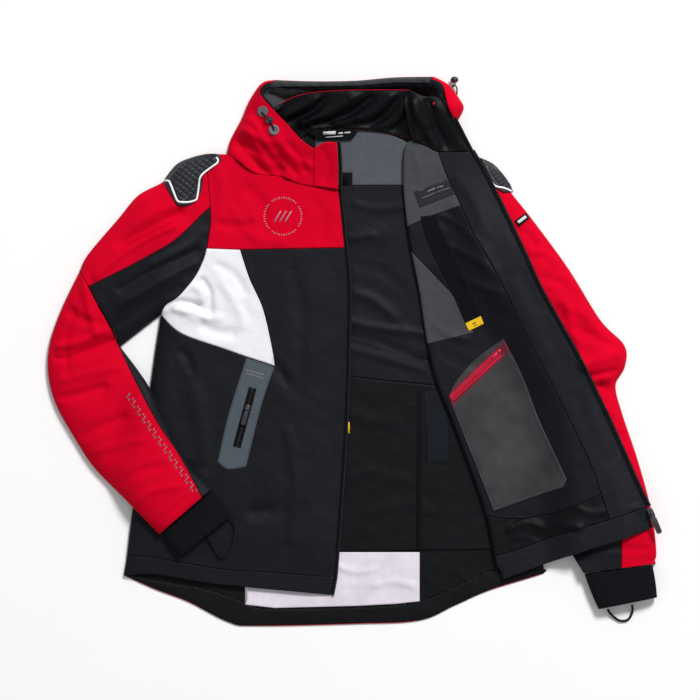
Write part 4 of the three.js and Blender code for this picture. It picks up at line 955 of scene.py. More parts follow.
cloth("back_tape", "tape", outline(line((92, -58), (100, -58), (100, -296), (92, -296))), lifted(lining_top, 0.9),
    0.8, "back_lining_tape", pitch=3, rings=(1,), dip=0.1)
cloth("inner_pocket_back", "pocket_back", outline(line((106, -58), (121, -58), (139, -98), (139, -165), (106, -165))),
    lifted(lining_top, 0.9), 0.8, "pocket_reverse", pitch=3.5, rings=(1.2,), dip=0.3)

# ---------------------------------------------------------------- right front
SIDE_TUCK = under(SIDE_R)
front_edges = dict(rings=(0.7, 1.9, 4, 7.5))


def front(name, material, shape, node, pitch=4.2, tuck=(), **options):
    return cloth(name, material, shape, front_top, SHELL, node, pitch=pitch, tuck=tuck, **options)


front("yoke_right", "red", outline(SHOULDER_R, COLLAR_SEAM, COLLAR_FRONT_SEAM, YOKE_EDGE, -YOKE_SEAM, -YOKE_SEAM_SIDE,
    -ARMHOLE_R, -ARMHOLE_TOP_R), "yoke_r")
front("white_panel", "white", outline(YOKE_SEAM_SIDE, WHITE_EDGE, -WHITE_BOTTOM, -UNDERARM_R), "white_panel_r",
    pitch=3.6)
front("front_right", "black", outline(YOKE_SEAM, FRONT_EDGE, -HEM_SEAM_R, -SIDE_R[0:5], WHITE_BOTTOM, -WHITE_EDGE),
    "front_main_r", tuck=SIDE_TUCK, **front_edges)
front("hem_right", "black", outline(HEM_SEAM_R, HEM_EDGE_R, -HEM_R, -SIDE_R[5:]), "front_hem_r", tuck=SIDE_TUCK,
    **front_edges)

WHOLE_EDGE = Line(np.vstack([FRONT_TOP_EDGE.points, YOKE_EDGE.points[1:], FRONT_EDGE.points[1:],
    HEM_EDGE_R.points[1:]]), [0])


def edge_top(x, y):
    return mix(front_top(x, y), hood_top(x, y), smooth(240, 246, y))


cloth("zip_tape_right", "tape", outline(WHOLE_EDGE, -WHOLE_EDGE.shifted(6)), lifted(edge_top, -0.5), 0.9,
    "zip_tape_r", pitch=3, rings=(1,), dip=0)

cloth("pocket_panel", "trim", POCKET_TRIM, lifted(front_top, 1.2), 0.9, "pocket_trim", pitch=3.6, dip=0.5)
POCKET_ZIP = line((-153, -53.5), (-177, -142.5))
cloth("pocket_zip_tape", "tape", outline(line((-159, -52), (-147, -55), (-171, -144), (-183, -141))), lambda x,
    y: front_top(x, y) + 2 - 0.5 * np.exp(-(distance(POCKET_ZIP, x, y) / 2) ** 2), 0.8, "pocket_zip", pitch=2.5,
    rings=(1,), dip=0.3)

# ---------------------------------------------------------------- right sleeve
ARM_TUCK = under(ARM_OUT_R, ARM_IN_R)
front("upper_sleeve_red", "red", outline(ARM_OUT_R, ELBOW_OUT_R, -ARM_SEAM_R, -ARMHOLE_TOP_R), "sleeve_r_upper_red",
    tuck=ARM_TUCK, **front_edges)
front("upper_sleeve_black", "black", outline(ARM_SEAM_R, ELBOW_MID_R, ELBOW_IN_R, -ARM_IN_R, -UNDERARM_R, -ARMHOLE_R),
    "sleeve_r_upper_black", tuck=ARM_TUCK, **front_edges)
cloth("upper_sleeve_back", "black", outline(ARM_OUT_R, ELBOW_OUT_R, ELBOW_MID_R, ELBOW_IN_R, -ARM_IN_R, -UNDERARM_R,
    -ARMHOLE_R, -ARMHOLE_TOP_R), back_top, SHELL, "sleeve_r_upper_back", pitch=8, dip=0.2)

FORE_TUCK = under(FORE_OUT_R, FORE_IN_R, height=lifted(forearm_floor, 0.9))


def forearm(name, material, shape, node):
    return cloth(name, material, shape, forearm_top, SHELL, node, pitch=3.8, tuck=FORE_TUCK, **front_edges)


forearm("forearm_red", "red", outline(FORE_OUT_R, FORE_END_RED, -FORE_SEAM_R, -ELBOW_MID_R, -ELBOW_OUT_R),
    "sleeve_r_fore_red")
forearm("forearm_black", "black", outline(FORE_SEAM_R, FORE_END_BLACK, -FORE_IN_R, -ELBOW_IN_R),
    "sleeve_r_fore_black")
cloth("forearm_back", "black", outline(FORE_OUT_R, FORE_END_RED, FORE_END_BLACK, -FORE_IN_R, -ELBOW_IN_R,
    -ELBOW_MID_R, -ELBOW_OUT_R), lambda x, y: forearm_floor(x, y) + SHELL, SHELL, "sleeve_r_fore_back", pitch=6,
    dip=0.2)

# ---------------------------------------------------------------- left sleeve
SLEEVE_TUCK = under(ARM_OUT_L, ARM_IN_L)


def sleeve_l(name, material, shape, node):
    return cloth(name, material, shape, sleeve_top_l, SHELL, node, pitch=3.8, tuck=SLEEVE_TUCK, **front_edges)


END_SEAM = line((450, -312), (451, -317), (398, -323.5))
sleeve_l("sleeve_left_red", "red", outline(ARM_OUT_L, END_SEAM, -ARM_SEAM_L, -ARMHOLE_L[0:2]), "sleeve_l_red")
sleeve_l("sleeve_left_black", "black", outline(ARM_SEAM_L, line((398, -323.5), (343, -331), (325, -303)), -ARM_IN_L,
    -ARMHOLE_L[2:]), "sleeve_l_black")
cloth("sleeve_left_back", "black", SLEEVE_L_SHAPE, back_top, SHELL, "sleeve_l_back", pitch=7, dip=0.2)


# ---------------------------------------------------------------- cuffs
def cuff(name, node, start, end, low_at, height, bulge):
    """Rib-knit tube between two lines across the sleeve, open at both ends."""
    start, end = np.array(start, float), np.array(end, float)
    ribs, per_rib, rings = 56, 4, 14
    turn = 2 * np.pi * np.arange(ribs * per_rib) / (ribs * per_rib)
    flat = lambda v: np.sign(v) * np.abs(v) ** 0.6

    def skin(pull):
        rows = []
        for t in np.linspace(0, 1, rings):
            a, b = mix(start[0], end[0], t), mix(start[1], end[1], t)
            middle, half = (a + b) / 2, (b - a) / 2
            grow = 1 + bulge * math.sin(math.pi * t) - 0.02 * t
            knit = 0.3 * np.cos(ribs * turn) * (0 if pull else 1)
            reach = np.linalg.norm(half) * grow - pull + knit
            across = half / np.linalg.norm(half)
            rise = height / 2 - pull + knit + 0.6 * math.sin(math.pi * t)
            plan = middle + across * (reach * flat(np.cos(turn)))[:, None]
            rows.append(np.column_stack([plan, low_at + height / 2 + rise * flat(np.sin(turn))]))
        return rows

    rows = skin(0) + skin(2)[::-1]
    n, count = len(turn), len(rows)
    faces = loops(count, n, closed=True)
    points = np.vstack(rows)
    a, b, c = points[faces[0][0]], points[faces[0][1]], points[faces[0][2]]
    centre = points[:n].mean(0)
    if np.dot(np.cross(b - a, c - a), a - centre) < 0:
        faces = [f[::-1] for f in faces]
    made = make(name, points, faces, "rib", [node])
    return made


CUFF_R_LOW = float(forearm_floor(np.array([-236.0]), np.array([-240.0]))[0]) + 0.4
cuff("cuff_right", "cuff_r", [(-286, -268.4), (-212, -205.2)], [(-262, -305), (-183, -243)], CUFF_R_LOW, 13, 0.03)
cuff("cuff_left", "cuff_l", [(344, -332.5), (445, -319)], [(364, -385), (453, -367)], 0.95, 19, 0.02)

# ---------------------------------------------------------------- open left front
FOLD_IN = FOLD.shifted(ROLL)


def left_shell():
    """The turned shell with its rolled edge and the side strip under it."""
    turned = draped(outline(FOLD_IN, HEM_L, -HEM_END_L, -ZIP_L.shifted(2.5, 1), -NECK_L[1:]), open_shell_top, SHELL,
        pitch=6, dip=0)
    strip = draped(outline(FOLD_IN, -SIDE_L, line((205, 70), (168, 120), (164, 180), (120, 280))), lambda x,
        y: np.full(len(x), 5.3), SHELL, pitch=9, dip=0)
    arc = np.linspace(math.pi / 2, 1.5 * math.pi, 9)
    outer, inner = ROLL, ROLL - SHELL
    section = [(1.2, outer)] + [(outer * math.cos(t), outer * math.sin(t)) for t in arc] + [(1.2, -outer)]
    section += [(1.2, -inner)] + [(inner * math.cos(t), inner * math.sin(t)) for t in arc[::-1]] + [(1.2, inner)]
    n = len(section)
    path = FOLD.points
    points = np.array([(x + ROLL + u, y, ROLL_MIDDLE + w) for x, y in path for u, w in section])
    faces = [[r * n + k, (r + 1) * n + k, (r + 1) * n + (k + 1) % n,
        r * n + (k + 1) % n] for r in range(len(path) - 1) for k in range(n)]
    caps = [list(range(n)), list(range((len(path) - 1) * n, len(path) * n))[::-1]]
    points, faces = merged([turned[:2], strip[:2], (points, faces + caps)])
    made = make("front_left", points, faces, "black", ["front_l_shell"])
    bm = bmesh.new()
    bm.from_mesh(made.data)
    bmesh.ops.recalc_face_normals(bm, faces=bm.faces)
    bm.to_mesh(made.data)
    bm.free()


left_shell()
FOLD_TUCK = [(FOLD_FACE, 2.2, 4.6)]


def rolled(first, last):
    """The part of the lining's face along the fold."""
    return FOLD_FACE[first:last]


def open_lining(name, material, shape, node, **options):
    options = dict(rings=(0.8, 2, 3.6, 6), pitch=4, dip=0.5, tuck=FOLD_TUCK) | options
    return cloth(name, material, shape, open_face, LINING, node, held="folded", **options)


open_lining("facing_left", "facing", outline(NECK_L[1:], ZIP_L, -HEM_SEAM_L[3:], -FACING_IN), "facing_l", dip=0.9)
open_lining("mesh_left_top", "left_mesh", outline(NECK_L[0:1], FACING_IN[0:2], -MESH_LOW, line((79, 188),
    (77.5, 188)), -rolled(0, 3)), "lining_mesh_l")
open_lining("mesh_left_low", "left_mesh", outline(MESH_EDGE, MESH_HEM, line((109, 12), (107.5, 12)), -rolled(4, 6)),
    "lining_mesh_low_l")
open_lining("stretch_left", "stretch", outline(MESH_LOW, FACING_IN[2:8], -LOW_LINE, -rolled(6, 10), -MESH_HEM,
    -MESH_EDGE, -rolled(3, 4)), "lining_stretch_l")
open_lining("low_left", "low", outline(LOW_LINE, FACING_IN[8:], -HEM_SEAM_L[0:3], -rolled(10, 11)), "lining_low_l")
open_lining("hem_left", "facing", outline(HEM_SEAM_L, HEM_END_L, -HEM_L, -rolled(11, 12)), "front_hem_l", dip=0.9)

cloth("strap", "strap", outline(bend((98, 203), (107, 170), (125, 130), (145, 90), (165, 43)), bend((188, 54),
    (177, 80), (165, 110), (150, 140), (135, 170), (120, 205))), lifted(open_top, 1.4), 1, "strap_l", pitch=3.5,
    rings=(1.5,), dip=0.3)
cloth("strap_end", "yellow", outline(line((165, 43), (188, 54), (193, 42), (170, 31))), lifted(open_top, 1.6), 1,
    "strap_tag", pitch=2.5, rings=(1,), dip=0.3)
INNER_ZIP = line((216.5, -1.5), (144, -70.5))


def inner_pocket_top(x, y):
    return open_top(x, y) + 1.5 + 0.5 * smooth(6, 14, distance(INNER_ZIP, x, y))


cloth("inner_pocket_panel", "inner_pocket", INNER_POCKET, inner_pocket_top, 1, "inner_pocket", pitch=3.6, dip=0.6)
cloth("inner_zip_tape", "red_tape", outline(line((221, -6), (212, 3), (140, -66), (148, -75))), lambda x,
    y: inner_pocket_top(x, y) + 1.2 - 0.5 * np.exp(-(distance(INNER_ZIP, x, y) / 2) ** 2), 0.8, "inner_pocket_zip",
    pitch=2.5, rings=(1,), dip=0.3)
cloth("zip_tape_left", "tape", outline(ZIP_L, -ZIP_L.shifted(7, 3)), lifted(open_shell_top, 1), 1, "zip_tape_l",
    pitch=3, rings=(1,), dip=0)

# ---------------------------------------------------------------- hood and collar
COLLAR_ZIP = Line(np.vstack([COLLAR_L.points[COLLAR_L.knots[2]:], [(179, 288)]]), [0])
cloth("zip_tape_collar", "tape", outline(COLLAR_ZIP.shifted(-1.5, -1), -COLLAR_ZIP.shifted(5, 3)),
    lifted(collar_left_top, -0.5), 0.9, pitch=3, rings=(1,), dip=0)
HOOD_TUCK = under(HOOD_SIDE_R, HOOD_TOP, HOOD_SIDE_L)
hood = dict(pitch=3.6, rings=(0.7, 1.9, 4, 7), tuck=HOOD_TUCK)
cloth("hood_back", "red", outline(HOOD_SIDE_R, HOOD_TOP, HOOD_SIDE_L, line((152, 343), (172, 300)), -NECK_L, -NECK,
    -NECK_R), lambda x, y: back_top(x, y) - 0.1, SHELL, "hood_under", pitch=7, dip=0.2)
cloth("hood_front", "red", outline(HOOD_SIDE_R, -RIM_R, line((-62, 304), (-62, 248)), -COLLAR_SEAM), hood_top, SHELL,
    "hood_outer", **hood)
cloth("hood_left_side", "red", outline(HOOD_SIDE_L, -RIM_L), hood_top, SHELL, **hood)
cloth("collar_right", "red", outline(COLLAR_R_TOP, FRONT_TOP_EDGE, -COLLAR_FRONT_SEAM, line((-62, 248), (-62, 304))),
    hood_top, SHELL, "collar_front_r", pitch=3.6)
cloth("hood_rim", "rim", outline(HOOD_TOP, line((118, 413), (111, 401)), -BAND_TOP, line((-128, 395), (-120, 408))),
    band_top, LINING, "hood_rim_band", pitch=2.2, rings=(0.8, 2), dip=0.3, tuck=under(HOOD_TOP))
cloth("hood_inside", "stretch", outline(RIM_R[3:], BAND_TOP, RIM_L, -COLLAR_L[0:4].shifted(-1, -1.5),
    -COLLAR_TOP.shifted(0, -6)), well_top, LINING, "hood_lining", pitch=3.2, dip=0.2)
cloth("collar_inside", "collar", outline(NECK, -COLLAR_BEND, -COLLAR_TOP, -RIM_R[1:3]), collar_back_top, SHELL,
    "collar_back_lining", pitch=3.2, dip=0.6)
cloth("collar_left", "collar", outline(COLLAR_L, -NECK_L, -COLLAR_BEND), collar_left_top, SHELL, "collar_l_lining",
    pitch=3.2, dip=0.6)


def disc(x, y, radius, count=28):
    turn = 2 * np.pi * np.arange(count) / count
    return np.column_stack([x + radius * np.cos(turn), y + radius * np.sin(turn)])


def eyelet(name, node, x, y):
    """A moulded washer: a low ring with a raised rim round a sunk middle."""
    profile = [(8, 0.5), (8, 1.1), (7.2, 1.7), (6.2, 1.7), (5.2, 1.1), (2.6, 1.0), (2.0, 0.6), (0.01, 0.6),
        (0.01, 0.2), (7.8, 0.2)]
    count = 28
    rows = [on(hood_top, disc(x, y, r, count), h) for r, h in profile]
    make(name, np.vstack(rows), loops(len(rows), count, closed=True), "eyelet", [node])


eyelet("eyelet_upper", "eyelet_1", -138, 359)
eyelet("eyelet_lower", "eyelet_2", -121, 331)


def lathe(x, y, z, profile, count=20, squash=(1, 1), tilt=0.0):
    """A turned form about the upright through (x, y); profile is (radius, height) from its foot to its crown."""
    turn = 2 * np.pi * np.arange(count) / count
    rows = [np.column_stack([x + squash[0] * r * np.cos(turn), y + squash[1] * r * np.sin(turn),
        z + h + tilt * r * np.cos(turn)]) for r, h in profile]
    return np.vstack(rows), loops(len(rows), count) + ends(len(rows), count)


lock_foot = float(hood_top(np.array([-128.0]), np.array([346.0]))[0]) + 0.6
make("lock_right", *lathe(-128, 346, lock_foot, [(5, 0), (6, 0.8), (6, 4.2), (5.2, 5.4), (4.2, 5.6), (4, 5.0),
    (2.2, 4.8), (2, 6.4), (1.4, 6.8), (0.2, 6.8)], squash=(1, 0.9)), "lock", ["cord_lock_r"])
lock_body = lathe(149, 408, 3.6, [(3.4, 0), (5.2, 1.2), (6, 3.6), (5.8, 6), (4.4, 8), (2.6, 8.8), (0.2, 9)],
    squash=(1, 0.8))
lock_cord = tube(on(lambda x, y: 6 + 0 * x, bend((145, 397), (150, 400), (153, 393), (152, 384)).points), 1.2)
make("lock_left", *merged([lock_body, lock_cord]), "lock", ["cord_lock_l"])

DRAWCORD = bend((-139.5, 358, 0), (-134, 352, 0), (-128, 346, 0), (-124, 339, 0), (-121.5, 333, 0), (-121, 330, 0),
    step=2).points[:, :2]


def drawcord():
    """The hood's drawcord, out of one eyelet, through its lock and into the other."""
    plan = DRAWCORD
    rise = 2.6 * np.sin(np.linspace(0, np.pi, len(plan))) + 1.6
    path = np.column_stack([plan, hood_top(*plan.T) + rise])
    made = make("drawcord", *tube(path, 1.2, 10), "cord")


drawcord()


# ---------------------------------------------------------------- shoulder guards and badge
def guard(name, node, shape, surface, turn, pitch, piping):
    """A moulded pad of raised cells in a grid, with a plain edge and a light piping inside it."""
    border = np.vstack([shape, shape[:1]])

    def top(x, y):
        c, s = math.cos(turn), math.sin(turn)
        u, v = (x * c + y * s) / pitch, (y * c - x * s) / pitch
        groove = np.minimum(np.abs(u - np.round(u)), np.abs(v - np.round(v))) * pitch
        cells = smooth(0.5, 1.4, groove)
        edge = distance(border, x, y)
        field = smooth(4.5, 7.5, np.minimum(edge, distance(piping, x, y) + 2.5))
        return surface(x, y) + 0.6 + 2.1 * rounded(edge, 3) + 1.8 * cells * field

    points, faces, _ = draped(shape, top, 2.2, pitch=1.25, rings=(0.8, 1.8), dip=0)
    made = make(name, points, faces, "rubber", [node])
    path = on(surface, bend(*piping, step=2).points, 3.2)
    make(name + "_piping", *tube(path, 1.5, 10, 0.8), "piping")


GUARD_R = outline(bend((-288, 256), (-268, 281), (-246, 291.5), (-225, 296.5), (-205, 296), (-200, 287), (-212, 275),
    (-226, 264), (-229, 245), (-235, 229), (-248, 219), (-264, 218), (-274, 232), (-288, 256)))
guard("guard_right", "guard_r", GUARD_R, front_top, math.radians(52), 7.6, [(-286, 256), (-279, 256), (-275, 249),
    (-271, 239), (-266, 227), (-261, 224), (-250, 224), (-239, 227), (-236, 232), (-234, 246), (-232, 260),
    (-226, 268), (-214, 277), (-206, 283), (-205, 288), (-208, 291)])
GUARD_L = outline(bend((186, 292), (206, 283), (220, 269), (233, 251), (237, 239)), line((237, 239), (222, 238),
    (213, 244), (203, 258), (186, 292)))
guard("guard_left", "guard_l", GUARD_L, sleeve_top_l, math.radians(-52), 6.0, [(202, 259), (208, 250), (214, 247),
    (222, 246), (230, 243), (235, 241)])
cloth("badge", "label", outline(line((238, 196), (256, 209), (262, 200), (245, 187))), lifted(sleeve_top_l, 2), 1.4,
    "badge_l", pitch=2, rings=(1,), dip=0.4, slot="guard_rubber")

# ---------------------------------------------------------------- seams, teeth and prints
STITCH = (2.5, 0.75, 0.5)


def stitches(name, material, surface, *runs, pitch=3.5, lift=0.15, slot=None):
    """Rows of thread along runs (line, how far to its left)."""
    parts = []
    for path, aside in runs:
        places, ways = walk(offset(path, aside), pitch)
        parts.append(blocks(on(surface, places, lift), ways, STITCH))
    make(name, *merged(parts), material, slot=slot)


stitches("stitch_placket", "thread", front_top, (FRONT_EDGE, -10), (FRONT_EDGE, -2))
stitches("stitch_yoke_placket", "red_thread", front_top, (YOKE_EDGE, -10), (YOKE_EDGE, -2))
stitches("stitch_collar_edge", "red_thread", hood_top, (FRONT_TOP_EDGE, -2.2), (COLLAR_R_TOP, -2.2), (RIM_R, 2.5),
    (COLLAR_SEAM, 2.2), (COLLAR_FRONT_SEAM, 2.2))
stitches("stitch_yoke", "red_thread", front_top, (YOKE_SEAM, 2), (YOKE_SEAM_SIDE, 2), (COLLAR_SEAM, -2.2),
    (ARMHOLE_TOP_R, 2.2), (ARMHOLE_R, 2.2), (ARM_SEAM_R, -2))
stitches("stitch_white", "white_thread", front_top, (WHITE_BOTTOM, 2), (WHITE_EDGE, -2))
stitches("stitch_front", "thread", front_top, (HEM_SEAM_R, 2), (HEM_R, 4), (UNDERARM_R, -2), (bend((-290, 0),
    (-296, -62), (-308, -140), (-322, -240), (-330, -300)), 0), (bend((-165, -285), (-127, -298), (-125, -326)), 0))
stitches("stitch_forearm", "red_thread", forearm_top, (FORE_SEAM_R, -2), (FORE_SEAM_R, -6), (FORE_END_RED, 5),
    (FORE_END_RED, 8), (ELBOW_MID_R, 2))
stitches("stitch_sleeve_left", "red_thread", sleeve_top_l, (ARM_SEAM_L, 2), (ARM_END_RED_L, 5), (ARM_END_RED_L, 8))
stitches("stitch_pocket_trim", "thread", lifted(front_top, 1.2), (Line(np.vstack([POCKET_TRIM, POCKET_TRIM[:1]]),
    [0]), 2), slot="blue_grey_trim")
stitches("stitch_back", "thread", lifted(back_panel_top, 0.3), (POCKET_HEM, 8), (line((-8, 250), (70, 250)), -2.5),
    slot="black_stretch")
stitches("stitch_back_hem", "thread", lambda x, y: 0 * x + 3.3, (HEM_BACK[0:9], 4))
stitches("stitch_open", "thread", open_top, (ZIP_L[0:8], -22), (ZIP_L, -3), (HEM_SEAM_L, -2.2), (HEM_L, 5),
    (FACING_IN, 2), (MESH_LOW, -2), (LOW_LINE, -2), (MESH_EDGE, 2))
stitches("stitch_inner_pocket", "thread", inner_pocket_top, (line((307, -198), (211, -232)), -2), (bend((246, -35),
    (271, -100), (296, -155), (310, -186)), -1), (bend((211, -232), (188, -178), (156, -98)), -1),
    slot="inner_pocket")
stitches("stitch_strap", "thread", lifted(open_top, 1.4), (bend((100, 203), (109, 170), (127, 130), (147, 90),
    (166, 46)), 1.2), (bend((120, 203), (134, 170), (149, 140), (164, 110), (176, 80), (186, 56)), -1.2),
    (line((104, 190), (122, 193)), 0), (line((104, 190), (124, 182)), 0), slot="loop_cord")


def teeth(name, material, surface, path, pitch=2.3, size=(1.5, 3.4, 1.8), aside=0.0, lift=0.6):
    """Zip teeth along a path, or to its left."""
    places, ways = walk(offset(path, aside), pitch)
    points, faces = blocks(on(surface, places, lift), ways, size, 0.7)
    make(name, points, faces, material)


teeth("teeth_right", "teeth", lifted(edge_top, -0.5), WHOLE_EDGE, aside=4.6)
teeth("teeth_left", "teeth", lifted(open_shell_top, 1), ZIP_L, aside=5.6)
teeth("teeth_collar", "teeth", lifted(collar_left_top, -0.3), COLLAR_ZIP, aside=4)
teeth("teeth_pocket", "teeth", lifted(front_top, 1.6), POCKET_ZIP, pitch=1.8, size=(1.3, 4, 1.2))
teeth("teeth_inner", "red_teeth", lifted(inner_pocket_top, 0.9), INNER_ZIP, pitch=1.8, size=(1.3, 4, 1.2))


def piping(name, material, surface, path, radius, lift=0.0, slot=None):
    make(name, *tube(on(surface, path.points if isinstance(path, Line) else path, lift), radius), material, slot=slot)


piping("piping_collar", "red_thread", collar_back_top, Line(COLLAR_TOP.points[1:-1], [0]), 0.5, 0.5)
piping("piping_hem", "red_thread", lambda x, y: 0 * x + 1.4, offset(HEM_BACK, 0.6)[2:-4], 0.5)


def prism(corners, surface, lift, depth=0.35):
    """A low closed patch with straight sides, on a surface."""
    corners = np.asarray(corners, float)
    p, q = corners, np.roll(corners, -1, 0)
    if (p[:, 0] * q[:, 1] - q[:, 0] * p[:, 1]).sum() < 0:
        corners = corners[::-1]
    n = len(corners)
    verts = np.vstack([on(surface, corners, lift - depth), on(surface, corners, lift)])
    faces = [list(range(n))[::-1], list(range(n, 2 * n))] + [[k, (k + 1) % n, n + (k + 1) % n,
        n + k] for k in range(n)]
    return verts, faces


def bar(a, b, width):
    a, b = np.array(a, float), np.array(b, float)
    length = np.linalg.norm(b - a)
    side = (b - a)[::-1] * (-1, 1) / length * width / 2
    along = a + (b - a) * np.linspace(0, 1, 2 + int(length / 3))[:, None]
    return np.vstack([along - side, along[::-1] + side])


def label(name, material, surface, shape, lift, slot=None):
    points, faces, _ = draped(outline(line(*shape)), lifted(surface, lift), 0.5, pitch=3, rings=(1,), dip=0.1)
    make(name, points, faces, material, slot=slot)


def patches(name, material, surface, shapes, lift=0.2, slot=None):
    make(name, *merged([prism(s, surface, lift) for s in shapes]), material, slot=slot)


# Chest motif: a ring of ticks round three slanted bars.
CHEST = np.array([-108, 203])
ticks = []
for k in range(46):
    turn = 2 * math.pi * k / 46
    if k % 12 != 5:
        way = np.array([math.cos(turn), math.sin(turn)])
        ticks.append(bar(CHEST + way * 26.6, CHEST + way * (29.4 if k % 2 else 28.6), 1.5))
slashes = [bar(CHEST + (8 * k - 5, -8), CHEST + (8 * k + 5, 8), 1.8) for k in (-1, 0, 1)]
patches("chest_print", "print", front_top, ticks + slashes, 0.25)

# Forearm print: a row of slanted bars, long ones between pairs of short ones.
FIRST, LAST = np.array([-339.0, -65.0]), np.array([-235.0, -213.0])
RUN = (LAST - FIRST) / np.linalg.norm(LAST - FIRST)
TALL, STROKE, LEAN = 9, 1.8, 0.35


def slanted(along, low, high):
    """A bar so far along the row, between two heights across it."""
    across = np.array([-RUN[1], RUN[0]])
    foot, head = (FIRST + RUN * (along - LEAN * up) + across * (up - TALL / 2) for up in (low, high))
    return bar(foot, head, STROKE)


marks = []
for k in range(39):
    low, high = [(0, TALL), (0, 0.4 * TALL), (0.6 * TALL, TALL)][k % 3]
    marks.append(slanted(4.6 * k + 2, low, high))
patches("forearm_print", "dark_print", forearm_top, marks, 0.3)

piping("bend_binding", "collar", collar_back_top, offset(COLLAR_BEND, 0.2), 0.9, 0.2)
label("neck_label", "label", collar_back_top, [(-70, 330), (-55, 318), (-20, 317.5), (-5, 318), (5, 330), (0, 332),
    (-20, 333), (-60, 333)], 1.2)
patches("neck_label_marks", "label_white", collar_back_top, [[(-48, 325), (-29, 326), (-29, 331), (-48, 330)],
    bar((-25, 327.5), (-18, 328.2), 2.4), bar((-16, 328.2), (-7, 329), 2), bar((-44, 321.6), (-18, 323.6), 1.2)], 1.7)
label("mesh_label", "grey_label", open_top, [(88, 240), (97, 216), (150, 237), (138, 258)], 0.9)
patches("mesh_label_marks", "print", open_top, [bar((108, 240), (120, 245.4), 1.3), bar((122, 246), (132, 248.6),
    1.3), bar((100, 230), (120, 238.6), 0.6), bar((122, 239.2), (142, 246), 0.6)], 1.2, slot="grey_mesh")
patches("badge_mark", "label_white", lifted(sleeve_top_l, 2), [bar((243.5, 193.5), (256, 203), 4.4)], 0.35,
    slot="guard_rubber")
patches("inside_tab", "label", lifted(back_panel_top, 0.3), [[(-20, 250), (-4, 250), (-4, 269), (-20, 269)]], 0.9)
patches("edge_tab", "yellow", lifted(lining_top, 0), [[(-12, -105), (-8, -105), (-8, -122), (-12, -122)]], 1.4)
patches("collar_dot", "red_thread", collar_left_top, [disc(117.5, 370.5, 2.2, 10)], 0.5)
patches("strap_mark", "label", lifted(open_top, 1.6), [bar((176, 42), (181, 44.4), 1.4), bar((177.5, 39),
    (182.5, 41.4), 0.9)], 0.2, slot="yellow_tag")
ticks = []
for k in range(9):
    foot = np.array([-162, -29]) + k * np.array([2.9, -0.85])
    ticks += [bar(foot, foot + (1.2, 3.2), 0.9), bar(foot + (0, -4.6), foot + (1.4, -2.2), 0.9)]
patches("pocket_print", "print", lifted(front_top, 1.2), ticks, 0.2, slot="blue_grey_trim")
# Painted light: a lighter grey patch of the hood's grey lining under the rim, where the lining is lit. Round it the
# well keeps the dark stretch lining.
label("hood_lining_lit_patch", "lit_hood_lining", well_top, [(-136, 383), (-122, 364), (-98, 379), (-62, 389), (-100, 394),
    (-126, 396)], 0.4)
make("inner_zip_slider", *merged([prism(disc(215.5, 1.5, 3, 12), inner_pocket_top, 2.4, 1.6), prism(bar((213, -1),
    (205, -9), 3), inner_pocket_top, 2.6, 1.0)]), "red_teeth")

# ---------------------------------------------------------------- sliders and pull tabs
JOINTS = {joint["name"]: joint for joint in frame["record"]["behaviour"]["joints"]}


def bevelled(name, node, body, radius):
    """The CAD piece with its sharp edges rounded."""
    source = frame["nodes"][node].data
    bm = bmesh.new()
    bm.from_mesh(source)
    bmesh.ops.remove_doubles(bm, verts=bm.verts, dist=1e-6)
    bmesh.ops.dissolve_limit(bm, angle_limit=math.radians(2), verts=bm.verts, edges=bm.edges)
    sharp = [e for e in bm.edges if len(e.link_faces) == 2 and e.calc_face_angle(0) > math.radians(28)]
    bmesh.ops.bevel(bm, geom=sharp, offset=radius * MM, segments=2, profile=0.5, affect="EDGES", clamp_overlap=True)
    bmesh.ops.triangulate(bm, faces=bm.faces)
    data = bpy.data.meshes.new(name)
    bm.to_mesh(data)
    bm.free()
    data.materials.append(MAT["alloy"])
    data.shade_smooth()
    made = bpy.data.objects.new(name, data)
    scene.collection.objects.link(made)
    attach(made, body)
    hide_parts(node)
    return made


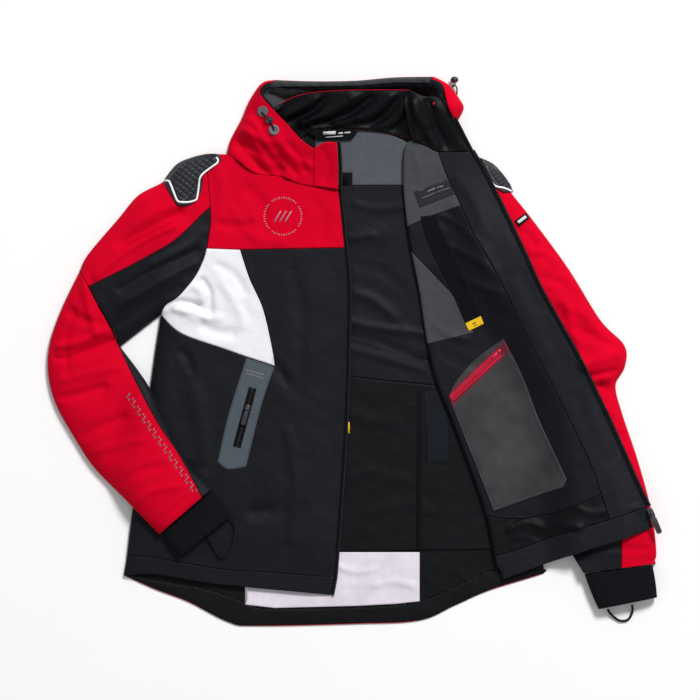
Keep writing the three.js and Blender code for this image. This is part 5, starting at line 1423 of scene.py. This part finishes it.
def pull_grip(name, joint, body, scale, reach, droop):
    """Raised bars across a pull tab's face, for grip."""
    pin = np.array(JOINTS[joint]["pos_m"]) / MM - SHIFT
    axis = np.array(JOINTS[joint]["axis"][:2])
    way = np.array([-axis[1], axis[0]])
    places, ways = [], []
    for far in reach:
        plan = pin[:2] + way * far * scale
        places.append((*plan, pin[2] - math.tan(droop) * far * scale + 1.05 * scale))
        ways.append(axis)
    make(name, *blocks(np.array(places), np.array(ways), (5 * scale, 1.3 * scale, 0.9 * scale), 0.6, 8), "alloy", (),
        body)


for prefix, scale, joint, body, reach in (
        ("pocket", 1, "pocket_pull_hinge", "pocket_tab", (10, 12.6, 15.2, 17.8, 20.4)),
                                          ("main", 1.25, "main_pull_hinge", "main_tab", (10, 12.8, 15.6, 18.4, 21.2))):
    bevelled(prefix + "_zip_slider", prefix + "_slider", "garment", 0.35 * scale)
    bevelled(prefix + "_zip_pull", prefix + "_pull", body, 0.35 * scale)
    pull_grip(prefix + "_pull_grip", joint, body, scale, reach, math.radians(8))

# ---------------------------------------------------------------- studio
FLOOR = 6
FLOOR_AT = -0.0004  # just under the lowest cloth
AMBIENT = 0.44
floor_data = bpy.data.meshes.new("floor")
floor_data.from_pydata([(FLOOR * x, FLOOR * y, FLOOR_AT) for x, y in ((-1, -1), (1, -1), (1, 1), (-1, 1))], [],
    [(0, 1, 2, 3)])
floor = bpy.data.objects.new("floor", floor_data)
scene.collection.objects.link(floor)
paper = Material("studio_paper", 0.9, specular=0.1)
floor_data.materials.append(paper.done(paper.blend(paper.noise(300, 2), (0.9, 0.9, 0.9, 1), (0.92, 0.92, 0.92, 1))))

world = bpy.data.worlds.new("studio")
world.use_nodes = True
world.node_tree.nodes["Background"].inputs["Color"].default_value = (1, 1, 1, 1)
world.node_tree.nodes["Background"].inputs["Strength"].default_value = AMBIENT
scene.world = world


def softbox(name, place, size, power):
    data = bpy.data.lights.new(name, "AREA")
    data.shape = "DISK"
    data.size = size
    data.energy = power
    light = bpy.data.objects.new(name, data)
    light.location = place
    light.rotation_euler = (-Vector(place)).to_track_quat("-Z", "Y").to_euler()
    scene.collection.objects.link(light)


softbox("key", (3.1, 5.5, 6.5), 2.4, 790)
